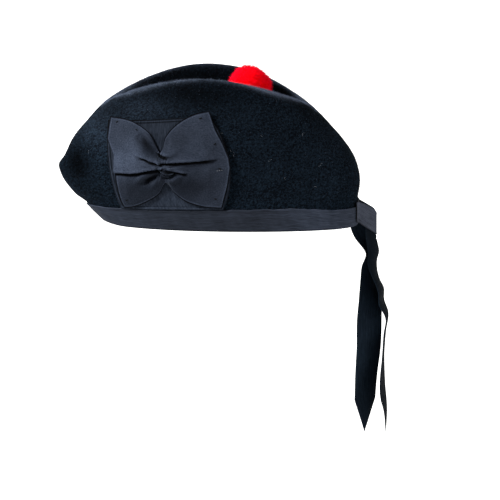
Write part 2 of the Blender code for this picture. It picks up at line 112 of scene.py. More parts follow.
def smooth(rows: tuple, column: str, place: float) -> float:
    """Value of a table's column at a place between its rows.

    Args:
        rows: The table, in the order of its first column.
        column: The column that is read.
        place: Where to read it, in the first column's units.

    Returns:
        The value on a cubic through all rows.
    """
    knots = [row[0] for row in rows]
    values = [getattr(row, column) for row in rows]
    last = len(knots) - 1
    i = min(max(int(np.searchsorted(knots, place, side="right")) - 1, 0), last - 1)

    def slope(at: int) -> float:
        """Slope of the cubic at one row."""
        if at == 0:
            return (values[1] - values[0]) / (knots[1] - knots[0])
        if at == last:
            return (values[last] - values[last - 1]) / (knots[last] - knots[last - 1])
        before, after = knots[at] - knots[at - 1], knots[at + 1] - knots[at]
        left = (values[at] - values[at - 1]) / before
        right = (values[at + 1] - values[at]) / after
        return (left * after + right * before) / (before + after)

    step = knots[i + 1] - knots[i]
    k = (place - knots[i]) / step
    return (
        values[i] * (2 * k**3 - 3 * k**2 + 1)
        + slope(i) * step * (k**3 - 2 * k**2 + k)
        + values[i + 1] * (3 * k**2 - 2 * k**3)
        + slope(i + 1) * step * (k**3 - k**2)
    )


def mix(first: Mixed, second: Mixed, share: Number) -> Mixed:
    """Straight mix of two values, vectors or arrays."""
    return first + (second - first) * share


def ramp(value: Number, low: float, high: float) -> Number:
    """Smooth step from 0 at low to 1 at high."""
    share = np.clip((value - low) / (high - low), 0.0, 1.0)
    return share * share * (3 - 2 * share)


def bell(value: Number, middle: float, width: float) -> Number:
    """Bell curve: 1 at the middle, nearly gone two widths away."""
    return np.exp(-(((value - middle) / width) ** 2))


def evenly_from_ends(index: int, count: int) -> float:
    """Places from the front to the back, closer together at both ends."""
    return (1 - math.cos(math.pi * index / count)) / 2


def row_at(rows: tuple, place: float) -> tuple:
    """A whole row of a table at any place of its first column."""
    kind = type(rows[0])
    return kind(*(smooth(rows, column, place) for column in kind._fields))


@lru_cache(maxsize=None)
def section_at(up: float) -> Section:
    """The crown's level line at any height."""
    return row_at(SECTIONS, up)


@dataclass(frozen=True)
class CrownForm:
    """The felt's shape, which every other piece sits on."""

    rim_length: float = 0.247
    rim_width: float = 0.098
    height: float = 0.1545
    ridge_gap: float = 0.067
    ridge_round: float = 0.008
    overhang: float = 0.0443
    back_lean: float = 0.0451
    crease_depth: float = 0.0405
    crease_front: float = 0.1255
    crease_rear: float = 0.1160
    crease_run_in: float = 0.009
    crease_fullness: float = 2.1
    crease_level: float = 0.8
    felt: float = 0.0025
    back_blunt: float = 2.1

    # How much further than the inset each part of the inner face moves, so that the wall stays even
    FRONT_INSET = 1.3
    BACK_INSET = 1.1
    END_INSET_DOWN = 1.5
    SIDE_INSET_DOWN = 2.56
    SIDE_INSET = 1.05

    # How much of the crown's height up covers at the ridge, and how finely and far a length is walked
    TOP_RISE = 0.72
    WALK_STEPS = 60
    WALK_END = 0.5

    def side(self, along: float, up: float, inset: float = 0.0) -> Vector:
        """Point of the left side.

        Args:
            along: 0 at the front, 1 at the back.
            up: 0 at the rim, 1 at the ridge.
            inset: Depth below the outer face.

        Returns:
            The point.
        """
        s = section_at(up)
        front = -self.rim_length / 2 - self.overhang * s.front_out + self.FRONT_INSET * inset
        back = self.rim_length / 2 - self.back_lean * s.back_in - self.BACK_INSET * inset
        front_z = self.height * s.front_height - self.END_INSET_DOWN * inset * up**2
        back_z = self.height * s.back_height - self.END_INSET_DOWN * inset * up**2
        side_z = self.height * s.side_height - self.SIDE_INSET_DOWN * inset * up**3
        half = mix(self.rim_width / 2, self.ridge_gap / 2, s.lean_in)
        half -= self.SIDE_INSET * inset * (1 - up**4)
        if along < s.widest:
            shape = max(1 - (1 - along / s.widest) ** 2, 0.0) ** s.front_round
        else:
            behind = (along - s.widest) / (1 - s.widest)
            shape = max(1 - behind**self.back_blunt, 0.0) ** s.back_round
        rise = max(math.sin(math.pi * along), 0.0) ** max(s.flat, 0.1)
        z = mix(front_z, back_z, along) + (side_z - (front_z + back_z) / 2) * rise
        return Vector((half * shape, mix(front, back, along), z))

    def crease(self, along: float, inward: float) -> Vector:
        """Point of the creased top, from the ridge (inward = 0) to the middle (1)."""
        ridge = self.side(along, 1.0)
        front = self.side(0, 1.0).y + self.crease_run_in
        back = self.side(1, 1.0).y - self.crease_run_in
        ends = mix(self.crease_front, self.crease_rear, along)
        middle = self.height - self.crease_depth
        halfway = (self.crease_front + self.crease_rear) / 2
        floor = ends + (middle - halfway) * max(math.sin(math.pi * along), 0.0) ** self.crease_level
        outward = 1 - inward
        y = mix(ridge.y, mix(front, back, along), inward)
        return Vector((ridge.x * outward, y, floor + (ridge.z - floor) * outward**self.crease_fullness))

    def outward(self, along: float, up: float, inset: float = 0.0) -> Vector:
        """Outward direction of the left side."""
        low, high = max(along - 0.004, 0.0), min(along + 0.004, 1.0)
        down, above = max(up - 0.01, 0.0), min(up + 0.01, 1.0)
        run = self.side(high, up, inset) - self.side(low, up, inset)
        rise = self.side(along, above, inset) - self.side(along, down, inset)
        if along in (0.0, 1.0):
            run = Vector((1.0 if along == 0.0 else -1.0, 0.0, 0.0))
        return run.cross(rise).normalized()

    def column(self, along: float, side_rows: int, fold_rows: int, crease_rows: int) -> list[Vector]:
        """Points of one column, from the rim over the rounded ridge to the crease.

        Args:
            along: The column's place.
            side_rows: Steps up the side.
            fold_rows: Steps round the ridge.
            crease_rows: Steps down into the crease.

        Returns:
            The points, rim first.
        """
        last = 1 - self.ridge_round / (self.height * self.TOP_RISE)
        rows = [self.side(along, last * i / side_rows) for i in range(side_rows)]
        before, corner = self.side(along, last), self.side(along, 1.0)
        first = self.ridge_round / math.hypot(self.crease_depth, self.ridge_gap / 2)
        after = self.crease(along, first)
        for i in range(fold_rows + 1):
            k = i / fold_rows
            rows.append(before * (1 - k) ** 2 + corner * 2 * k * (1 - k) + after * k**2)
        for i in range(1, crease_rows + 1):
            rows.append(self.crease(along, mix(first, 1.0, i / crease_rows)))
        return rows

    def up_at(self, along: float, length: float, inset: float = 0.0) -> float:
        """How far up a column lies a length of wall, measured on its surface from the rim."""
        end, steps = self.WALK_END, self.WALK_STEPS
        walked, last = 0.0, self.side(along, 0.0, inset)
        for i in range(1, steps + 1):
            here = self.side(along, end * i / steps, inset)
            step = (here - last).length
            if walked + step >= length:
                return end * (i - 1 + (length - walked) / step) / steps
            walked += step
            last = here
        return end


class WallMap:
    """The left side as a field over y and z, so that thousands of points find their place at once."""

    # The stretch of wall that is sampled, and how often a search for a place halves or sights again
    Y_RANGE = (-0.132, 0.121)
    Z_RANGE = (0.012, 0.133)
    HALVINGS = 11
    SIGHTINGS = 20

    def __init__(self, form: CrownForm, step: float = 0.003) -> None:
        """Samples the wall.

        Args:
            form: The felt's shape.
            step: Distance between the samples.
        """
        self.step = step
        self.ys = np.arange(*self.Y_RANGE, step)
        self.zs = np.arange(*self.Z_RANGE, step)
        self.form = form
        shape = (len(self.ys), len(self.zs))
        self.x = np.zeros(shape)
        self.normal = np.zeros((*shape, 3))
        for i, y in enumerate(self.ys):
            for j, z in enumerate(self.zs):
                along, up = self.place(float(y), float(z))
                self.x[i, j] = form.side(along, up).x
                self.normal[i, j] = form.outward(along, up)

    def place(self, y: float, z: float) -> tuple[float, float]:
        """The (along, up) place on the left side at a given y and z."""
        low, high, along = 0.0, 1.0, 0.5
        for _ in range(self.HALVINGS):
            up = (low + high) / 2
            front, back = self.form.side(0, up).y, self.form.side(1, up).y
            along = min(max((y - front) / (back - front), 0.0), 1.0)
            if self.form.side(along, up).z < z:
                low = up
            else:
                high = up
        return along, (low + high) / 2

    def points(self, y: np.ndarray, z: np.ndarray, stand: np.ndarray) -> np.ndarray:
        """Points over the wall.

        Args:
            y: Places along the cap.
            z: Heights.
            stand: Distances off the felt.

        Returns:
            An array with a last axis of three.
        """
        fy = np.clip((y - self.ys[0]) / self.step, 0, len(self.ys) - 1.001)
        fz = np.clip((z - self.zs[0]) / self.step, 0, len(self.zs) - 1.001)
        i, j = fy.astype(int), fz.astype(int)
        a, b = fy - i, fz - j

        def blend(field: np.ndarray) -> np.ndarray:
            """Bilinear reading of one field."""
            wide = field.ndim == 3
            s, t = (a[..., None], b[..., None]) if wide else (a, b)
            low = mix(field[i, j], field[i + 1, j], s)
            high = mix(field[i, j + 1], field[i + 1, j + 1], s)
            return mix(low, high, t)

        base = np.stack([blend(self.x), y, z], axis=-1)
        normal = blend(self.normal)
        normal /= np.linalg.norm(normal, axis=-1, keepdims=True)
        return base + normal * np.asarray(stand)[..., None]

    def at_pixel(self, px: float, py: float, stand: float) -> Vector:
        """The point of the left side that shows at a pixel of the photograph."""
        y = (px - ORIGIN_PX) * PIXEL
        level = (ORIGIN_PY - py) * PIXEL - ORIGIN_DROP
        z = level
        for _ in range(self.SIGHTINGS):
            here = self.points(np.array([y]), np.array([z]), np.array([stand]))[0]
            z += level - (here[2] * math.cos(CAMERA_RISE) - here[0] * math.sin(CAMERA_RISE))
        return Vector(here)


# Meshes


def lengths_along(points: np.ndarray, axis: int) -> np.ndarray:
    """Length walked to each point of a grid, from row to row (0) or from column to column (1)."""
    first = np.take(points, [0], axis=axis)
    steps = np.linalg.norm(np.diff(points, axis=axis, prepend=first), axis=-1)
    return np.cumsum(steps, axis=axis)


def edge_distance(points: np.ndarray) -> np.ndarray:
    """Distance of each point of a sheet's grid from the sheet's two long edges and from its ends."""
    across, run = lengths_along(points, 1), lengths_along(points, 0)
    return np.stack([np.minimum(across, across[:, -1:] - across), np.minimum(run, run[-1:] - run)])


def grid_sheet(points: np.ndarray) -> bmesh.types.BMesh:
    """A sheet through a grid of points, with a UV map in metres.

    Args:
        points: Rows by columns by three.

    Returns:
        The sheet, made from a flat grid.
    """
    rows, columns = points.shape[:2]
    sheet = bmesh.new()
    bmesh.ops.create_grid(sheet, x_segments=rows - 1, y_segments=columns - 1, size=1.0)
    uv = sheet.loops.layers.uv.new("cloth")
    run, across = lengths_along(points, 0), lengths_along(points, 1)
    places = {}
    for vertex in sheet.verts:
        i = round((vertex.co.x + 1) / 2 * (rows - 1))
        j = round((vertex.co.y + 1) / 2 * (columns - 1))
        places[vertex.index] = (i, j)
        vertex.co = points[i, j]
    for face in sheet.faces:
        for loop in face.loops:
            i, j = places[loop.vert.index]
            loop[uv].uv = (run[i, j], across[i, j])
    return sheet


def mirror_halves(sheet: bmesh.types.BMesh) -> None:
    """Joins a half to its mirror image across the cap's middle and turns the faces outwards."""
    for vertex in sheet.verts:
        if abs(vertex.co.x) < SAME_PLACE:
            vertex.co.x = 0.0
    everything = sheet.verts[:] + sheet.edges[:] + sheet.faces[:]
    bmesh.ops.mirror(sheet, geom=everything, axis="X", merge_dist=SAME_PLACE)
    bmesh.ops.remove_doubles(sheet, verts=sheet.verts, dist=SAME_PLACE)
    face_one_way(sheet)


def face_one_way(sheet: bmesh.types.BMesh) -> None:
    """Turns all faces of a sheet to one side."""
    bmesh.ops.recalc_face_normals(sheet, faces=sheet.faces)


def link(mesh: bpy.types.Mesh) -> bpy.types.Object:
    """An object of the scene that shows a mesh, shaded smooth, under the mesh's name."""
    mesh.shade_smooth()
    piece = bpy.data.objects.new(mesh.name, mesh)
    bpy.context.scene.collection.objects.link(piece)
    return piece


def to_object(name: str, made: bmesh.types.BMesh) -> bpy.types.Object:
    """An object from a bmesh, which is freed."""
    mesh = bpy.data.meshes.new(name)
    made.to_mesh(mesh)
    made.free()
    return link(mesh)


def add_wall(piece: bpy.types.Object, thickness: float, offset: float) -> None:
    """Gives a sheet its thickness.

    Args:
        piece: The sheet.
        thickness: Of the cloth.
        offset: -1 inwards, 0 about the sheet, 1 outwards.
    """
    wall = piece.modifiers.new("Wall", "SOLIDIFY")
    wall.thickness = thickness
    wall.offset = offset
    wall.use_even_offset = False
    wall.use_quality_normals = True


def cloth(
    name: str,
    points: np.ndarray,
    marks: np.ndarray,
    thickness: float,
    offset: float = 0.0,
    shape: Callable[[bmesh.types.BMesh], None] | None = None,
) -> bpy.types.Object:
    """A ribbon or a panel: a sheet with its wall and the marks that its finish reads.

    Args:
        name: Of the new object.
        points: The sheet's grid, rows by columns by three.
        marks: How much paler (positive) or darker the cloth is at each point: its selvedge, painted light
            and painted shade.
        thickness: Of the cloth.
        offset: -1 inwards, 0 about the sheet, 1 outwards.
        shape: What else is done to the sheet before it gets its wall.

    Returns:
        The object.
    """
    sheet = grid_sheet(points)
    layer = sheet.verts.layers.float.new("selvedge_and_painted_light")
    # The grid's vertices are numbered from row to row first
    for index, vertex in enumerate(sheet.verts):
        column, row = divmod(index, len(points))
        vertex[layer] = float(marks[row, column])
    if shape is not None:
        shape(sheet)
    piece = to_object(name, sheet)
    add_wall(piece, thickness, offset)
    return piece


def set_attribute(piece: bpy.types.Object, name: str, values: np.ndarray) -> None:
    """Stores a number at each vertex, for the finish to read."""
    attribute = piece.data.attributes.new(name, "FLOAT", "POINT")
    attribute.data.foreach_set("value", np.asarray(values, np.float32))


def scatter(name: str, template: bmesh.types.BMesh, places: np.ndarray) -> bpy.types.Object:
    """One joined mesh of many copies of a small shape.

    Args:
        name: Of the new object.
        template: The shape, freed here.
        places: One 4 by 4 matrix for each copy.

    Returns:
        The object.
    """
    template.verts.ensure_lookup_table()
    corners = np.array([[*vertex.co, 1.0] for vertex in template.verts])
    faces = np.array([[v.index for v in face.verts] for face in template.faces])
    template.free()
    copies = np.einsum("nij,vj->nvi", places, corners)[..., :3].reshape(-1, 3)
    count, shift = len(places), len(corners)
    joined = (faces[None] + np.arange(count)[:, None, None] * shift).reshape(-1, faces.shape[1])
    mesh = bpy.data.meshes.new(name)
    mesh.from_pydata(copies.tolist(), [], joined.tolist())
    return link(mesh)


def spike(base: float, length: float, segments: int = 3) -> bmesh.types.BMesh:
    """A thin closed spike along +Z, made of triangles."""
    cone = bmesh.new()
    bmesh.ops.create_cone(
        cone, cap_ends=True, cap_tris=False, segments=segments, radius1=base, radius2=0.0, depth=length
    )
    bmesh.ops.translate(cone, verts=cone.verts, vec=(0, 0, length / 2))
    bmesh.ops.triangulate(cone, faces=cone.faces)
    return cone


def tube(points: list[Vector], radius: float, sides: int = 6) -> bmesh.types.BMesh:
    """A thin closed thread through points.

    Args:
        points: The thread's middle line.
        radius: Of the thread.
        sides: Of its section.

    Returns:
        The thread.
    """
    made = bmesh.new()
    ring = bmesh.ops.create_circle(made, cap_ends=True, segments=sides, radius=radius)["verts"]
    start = (points[1] - points[0]).normalized()
    turn = start.to_track_quat("Z", "Y").to_matrix().to_4x4()
    bmesh.ops.transform(made, matrix=Matrix.Translation(points[0]) @ turn, verts=ring)
    faces = made.faces[:]
    for before, after in zip(points, points[1:]):
        moved = bmesh.ops.extrude_face_region(made, geom=faces)["geom"]
        if before is not points[0]:
            bmesh.ops.delete(made, geom=[f for f in faces if f.is_valid], context="FACES_ONLY")
        verts = [g for g in moved if isinstance(g, bmesh.types.BMVert)]
        faces = [g for g in moved if isinstance(g, bmesh.types.BMFace)]
        bmesh.ops.translate(made, verts=verts, vec=after - before)
    made.verts.index_update()
    count = len(made.verts)

    def number(face: bmesh.types.BMFace) -> int:
        """A number that only this face has, because an extrusion lists the faces anew each run."""
        first, second, third = sorted(vertex.index for vertex in face.verts)[:3]
        return (first * count + second) * count + third

    made.faces.sort(key=number)
    face_one_way(made)
    return made


def join_meshes(name: str, parts: list[bmesh.types.BMesh]) -> bpy.types.Object:
    """One object from several small meshes, which are freed."""
    whole = bmesh.new()
    for part in parts:
        mesh = bpy.data.meshes.new(name)
        part.to_mesh(mesh)
        part.free()
        whole.from_mesh(mesh)
        bpy.data.meshes.remove(mesh)
    return to_object(name, whole)


# Finishes


class Shader:
    """The nodes of one cloth material, joined one call at a time."""

    def __init__(self, name: str) -> None:
        """Starts a material with its Principled shader."""
        self.material = bpy.data.materials.new(name)
        self.material.use_nodes = True
        self.tree = self.material.node_tree
        self.surface = self.tree.nodes["Principled BSDF"]

    def add(self, kind: str, inputs: dict | None = None, **settings) -> bpy.types.Node:
        """A node.

        Args:
            kind: The node's type.
            inputs: Values or sockets for its inputs, by name or number.
            **settings: Its own properties.

        Returns:
            The node.
        """
        node = self.tree.nodes.new(kind)
        for key, value in settings.items():
            setattr(node, key, value)
        for key, value in (inputs or {}).items():
            if isinstance(value, bpy.types.NodeSocket):
                self.tree.links.new(value, node.inputs[key])
            else:
                node.inputs[key].default_value = value
        return node

    def math(self, operation: str, first: Input, second: Input = 0.0) -> Socket:
        """The result of a Math node."""
        return self.add("ShaderNodeMath", {0: first, 1: second}, operation=operation).outputs[0]

    def place(self, source: str, scale: tuple = (1.0, 1.0, 1.0)) -> Socket:
        """Scaled coordinates: Object, or the sheet's own UV map in metres."""
        coordinates = self.add("ShaderNodeTexCoord")
        vector = coordinates.outputs[source]
        return self.add("ShaderNodeMapping", {"Vector": vector, "Scale": scale}).outputs[0]

    def noise(self, vector: Socket, scale: float, detail: float = 4.0, rough: float = 0.6) -> Socket:
        """The factor of a Noise texture."""
        inputs = {"Vector": vector, "Scale": scale, "Detail": detail, "Roughness": rough}
        return self.add("ShaderNodeTexNoise", inputs).outputs[0]

    def attribute(self, name: str) -> Socket:
        """A number stored on the mesh."""
        return self.add("ShaderNodeAttribute", attribute_name=name).outputs["Fac"]

    def spread(self, value: Input, low: float, high: float, to_low: float, to_high: float) -> Socket:
        """A number moved from one range to another."""
        inputs = {"Value": value, "From Min": low, "From Max": high, "To Min": to_low, "To Max": to_high}
        return self.add("ShaderNodeMapRange", inputs).outputs[0]

    def tint(self, factor: Input, dark: tuple | Socket, light: tuple) -> Socket:
        """A colour between two."""
        first = dark if isinstance(dark, Socket) else (*dark, 1.0)
        inputs = {0: factor, 6: first, 7: (*light, 1.0)}
        return self.add("ShaderNodeMix", inputs, data_type="RGBA").outputs[2]

    def scale(self, vector: Socket, factor: Input) -> Socket:
        """A colour or a vector times a number."""
        return self.add("ShaderNodeVectorMath", {0: vector, "Scale": factor}, operation="SCALE").outputs[0]

    def shift(self, place: Socket, by: Input, share: float) -> Socket:
        """Coordinates moved the same way on each axis by a share of a number."""
        same = self.add("ShaderNodeCombineXYZ", {0: by, 1: by, 2: by}).outputs[0]
        inputs = {0: self.scale(same, share), 1: place}
        return self.add("ShaderNodeVectorMath", inputs, operation="ADD").outputs[0]

    def bump(self, height: Input, strength: float, distance: float, below: Socket | None = None) -> Socket:
        """A bumped normal, over another if given."""
        inputs = {"Height": height, "Strength": strength, "Distance": distance}
        if below is not None:
            inputs["Normal"] = below
        return self.add("ShaderNodeBump", inputs).outputs[0]

    def finish(self, colour: Socket, normal: Socket, **same: float | tuple) -> bpy.types.Material:
        """Joins colour and normal to the surface.

        Args:
            colour: Of the cloth.
            normal: The bumped normal.
            **same: What is the same all over, by the socket's name in small letters with underscores.

        Returns:
            The material.
        """
        self.tree.links.new(colour, self.surface.inputs["Base Color"])
        self.tree.links.new(normal, self.surface.inputs["Normal"])
        for name, value in {"sheen_roughness": 0.35, **same}.items():
            socket = next(s for s in self.surface.inputs if s.name.lower() == name.replace("_", " "))
            socket.default_value = value
        return self.material


@dataclass(frozen=True)
class FeltFinish:
    """Milled wool felt: grainy, with a nap that is paler where brushed, and painted highlights, light and
    shade.
    """

    name: str = "wool_felt"
    dark: tuple = (0.0010, 0.0016, 0.0028)
    light: tuple = (0.0078, 0.0146, 0.0242)
    # Colour of the brushed nap and of the painted highlight along the ridges and on the upper front
    nap_and_highlight: tuple = (0.158, 0.202, 0.292)

    def build(self) -> bpy.types.Material:
        """The material."""
        s = Shader(self.name)
        place = s.place("Object", (1.0, 0.75, 1.0))
        worms = s.noise(place, 380, 2, 0.5)
        grain = s.noise(s.shift(place, worms, 0.003), 640, 2, 0.8)
        clouds = s.spread(s.noise(place, 42, 4, 0.6), 0.3, 0.7, -0.14, 0.14)
        level = s.math("ADD", s.spread(grain, 0.39, 0.65, -0.10, 1.10), clouds)
        # Paler where the nap is brushed and where a highlight is painted
        nap_highlight = s.math("MULTIPLY", s.attribute("nap_and_highlight"), s.spread(grain, 0.35, 0.65, 0.35, 1.0))
        colour = s.tint(nap_highlight, s.tint(level, self.dark, self.light), self.nap_and_highlight)
        # Painted light and shade
        colour = s.scale(colour, s.attribute("tone"))
        whole = s.bump(s.noise(place, 1500, 2, 0.6), 0.5, 0.0004, s.bump(grain, 0.9, 0.0014))
        return s.finish(
            colour, whole, roughness=0.98, specular_ior_level=0.02, sheen_weight=0.02,
            sheen_tint=(0.45, 0.65, 0.95, 1.0)
        )


class Weave(Enum):
    """How a ribbon's yarn shows: the value is how fine its streaks are along, across and through it."""

    RIBBED = (1400.0, 120.0, 1.0)
    STREAKED = (60.0, 1300.0, 1.0)
    FINE = (700.0, 700.0, 1.0)


@dataclass(frozen=True)
class RibbonFinish:
    """Ribbon: ribs, streaks of uneven yarn, a slight sheen, and a paler selvedge with painted light and
    shade from its marks.
    """

    name: str
    dark: tuple
    light: tuple
    weave: Weave
    rib: float = 0.0011
    depth: float = 0.00016
    edge: float = 1.5
    rough: float = 0.72
    sheen: float = 0.03
    gloss: float = 0.10
    weft: float = 0.0009

    def build(self) -> bpy.types.Material:
        """The material."""
        s = Shader(self.name)
        place = s.place("UV")
        split = s.add("ShaderNodeSeparateXYZ", {0: place})
        along, across = split.outputs[0], split.outputs[1]
        ribs, between = (along, across) if self.weave is Weave.RIBBED else (across, along)
        wave = s.math("SINE", s.math("MULTIPLY", ribs, 2 * math.pi / self.rib))
        cross = s.math("SINE", s.math("MULTIPLY", between, 2 * math.pi / self.weft))
        yarn = s.noise(s.place("UV", self.weave.value), 1.0, 3, 0.65)
        clouds = s.spread(s.noise(place, 55, 3, 0.6), 0.3, 0.7, -0.12, 0.22)
        level = s.math("ADD", s.spread(yarn, 0.3, 0.7, 0.0, 0.8), clouds)
        level = s.math("ADD", level, s.math("MULTIPLY", wave, 0.07))
        # The marks: a paler selvedge, painted light (positive) and painted shade (negative)
        edge = s.attribute("selvedge_and_painted_light")
        paler = s.spread(edge, 0.0, 1.0, 1.0, self.edge)
        colour = s.scale(s.tint(level, self.dark, self.light), paler)
        colour = s.scale(colour, s.spread(edge, -1.0, 0.0, 0.05, 1.0))
        normal = s.bump(s.math("ADD", wave, s.math("MULTIPLY", cross, 0.4)), 0.6, self.depth)
        normal = s.bump(yarn, 0.4, 0.00025, normal)
        return s.finish(
            colour, normal, roughness=self.rough, specular_ior_level=self.gloss, sheen_weight=self.sheen,
            sheen_tint=(0.60, 0.72, 0.90, 1.0)
        )


@dataclass(frozen=True)
class WoolFinish:
    """Dyed wool ends, which let light through."""

    name: str = "red_wool"
    dark: tuple = (0.88, 0.0003, 0.004)
    light: tuple = (1.0, 0.0010, 0.006)

    def build(self) -> bpy.types.Material:
        """The material."""
        s = Shader(self.name)
        place = s.place("Object")
        strands = s.noise(place, 420, 3, 0.6)
        colour = s.tint(s.spread(strands, 0.35, 0.65, 0.0, 1.0), self.dark, self.light)
        return s.finish(
            colour, s.bump(strands, 0.5, 0.0005), roughness=0.95, specular_ior_level=0.02,
            sheen_weight=0.34, sheen_tint=(1.0, 0.02, 0.10, 1.0), subsurface_weight=0.55,
            subsurface_radius=(0.012, 0.0012, 0.0016), subsurface_scale=0.5
        )


@dataclass(frozen=True)
class ThreadFinish:
    """Sewing thread or a loose fibre."""

    name: str
    dark: tuple
    light: tuple

    def build(self) -> bpy.types.Material:
        """The material."""
        s = Shader(self.name)
        twist = s.noise(s.place("Object"), 1600, 2, 0.5)
        return s.finish(
            s.tint(twist, self.dark, self.light), s.bump(twist, 0.4, 0.0001), roughness=0.85,
            specular_ior_level=0.08, sheen_weight=0.02, sheen_tint=(0.8, 0.8, 0.8, 1.0)
        )


BINDING_CLOTH = RibbonFinish(
    "grosgrain", (0.0042, 0.0062, 0.0105), (0.0205, 0.0260, 0.0400), Weave.STREAKED, rib=0.0016, edge=2.4
)
# Painted light: the same grosgrain as the binding, made much lighter
LOOP_CLOTH = RibbonFinish(
    "loop_grosgrain", (0.023, 0.029, 0.044), (0.087, 0.101, 0.142), Weave.STREAKED, rib=0.0016,
    depth=0.00035
)
PANEL_CLOTH = RibbonFinish(
    "ribbed_ribbon", (0.0038, 0.0062, 0.0108), (0.0268, 0.0346, 0.0520), Weave.RIBBED, rib=0.0014,
    depth=0.0002, gloss=0.03
)
BOW_CLOTH = RibbonFinish(
    "bow_ribbon", (0.0098, 0.0136, 0.0218), (0.0306, 0.0382, 0.0578), Weave.FINE, rib=0.0010, depth=0.00008,
    edge=1.7, sheen=0.05, gloss=0.02
)
# Painted shade: the same ribbon as the binding, made darker
TAIL_CLOTH = RibbonFinish(
    "tail_ribbon", (0.0013, 0.0029, 0.0055), (0.0060, 0.0105, 0.0170), Weave.STREAKED, rib=0.0012, edge=1.8,
    sheen=0.004, gloss=0.03
)
NAP_HAIR = ThreadFinish("nap_hair", (0.004, 0.006, 0.010), (0.042, 0.060, 0.084))
# Painted highlight: the ridge's nap hairs are paler than the rest of the nap
RIDGE_HAIR = ThreadFinish("ridge_hair", (0.022, 0.032, 0.050), (0.165, 0.205, 0.300))
DARK_THREAD = ThreadFinish("dark_thread", (0.001, 0.0015, 0.002), (0.003, 0.004, 0.005))
PALE_THREAD = ThreadFinish("pale_thread", (0.10, 0.11, 0.13), (0.22, 0.24, 0.28))


Finish = FeltFinish | RibbonFinish | WoolFinish | ThreadFinish


@lru_cache(maxsize=None)
def material(finish: Finish) -> bpy.types.Material:
    """A finish's material, built once."""
    return finish.build()


def settle(piece: bpy.types.Object, finish: Finish, slot: str, *nodes: str) -> bpy.types.Object:
    """Dresses a piece and lets it stand for its nodes.

    Args:
        piece: The piece.
        finish: What it is made of.
        slot: Not used.
        *nodes: The nodes that it replaces.

    Returns:
        The piece.
    """
    piece.data.materials.append(material(finish))
    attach(piece, BODY)
    if nodes:
        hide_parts(*nodes)
    LOG.info("%s: %d faces", piece.name, len(piece.data.polygons))
    return piece


class RimShade(NamedTuple):
    """A shade that is full up to one distance from an edge and gone at another (m)."""

    full: float
    gone: float
    shade: float = 1.0

    def at(self, distance: np.ndarray) -> np.ndarray:
        """The shade at distances from the edge."""
        return self.shade * (1 - ramp(distance, self.full, self.gone))


class LineShade(NamedTuple):
    """A shaded line beside an edge: its distance from it and its width (m)."""

    middle: float
    width: float
    shade: float = 1.0

    def at(self, distance: np.ndarray) -> np.ndarray:
        """The shade at distances from the edge."""
        return self.shade * bell(distance, self.middle, self.width)


# The pieces


class Dent(NamedTuple):
    """A soft dent of the felt: its middle, how far it reaches and how it moves the felt (m)."""

    y: float
    z: float
    reach: float
    push: float


DENTS = table(
    Dent,
    (-0.151, 0.060, 0.013, -0.0022),
    (-0.138, 0.042, 0.010, 0.0008),
    (-0.120, 0.088, 0.018, -0.0010),
    (0.020, 0.095, 0.030, -0.0014),
    (0.060, 0.060, 0.024, 0.0010),
    (0.095, 0.085, 0.020, -0.0012),
    (0.030, 0.045, 0.022, -0.0010),
    (0.118, 0.056, 0.026, 0.0024),
)
TIP = (0.0, -0.1675, 0.0575)


class ToneSpot(NamedTuple):
    """A stretch of painted light (positive change) or painted shade on cloth: its middle, its reach along
    and up, and the change.
    """

    y: float
    z: float
    reach: float
    height: float
    change: float


# Painted light and shade on the felt: lighter on the upper front and the rear, darker on the nose, just
# below the ridge and midway back
TONES = table(
    ToneSpot,
    (-0.130, 0.090, 0.016, 0.028, 0.50),
    (-0.150, 0.062, 0.013, 0.020, -0.92),
    (-0.108, 0.123, 0.030, 0.008, 0.34),
    (-0.035, 0.138, 0.066, 0.017, -0.80),
    (0.060, 0.085, 0.060, 0.045, -0.15),
    (0.108, 0.060, 0.020, 0.050, 0.15),
)


def tone_over(spots: tuple, y: np.ndarray, z: np.ndarray) -> np.ndarray:
    """Sum of a table's lighter and darker stretches at many places."""
    total = np.zeros(y.shape)
    for spot in spots:
        away = np.hypot((y - spot.y) / spot.reach, (z - spot.z) / spot.height)
        total += spot.change * bell(away, 0.0, 1.0)
    return total


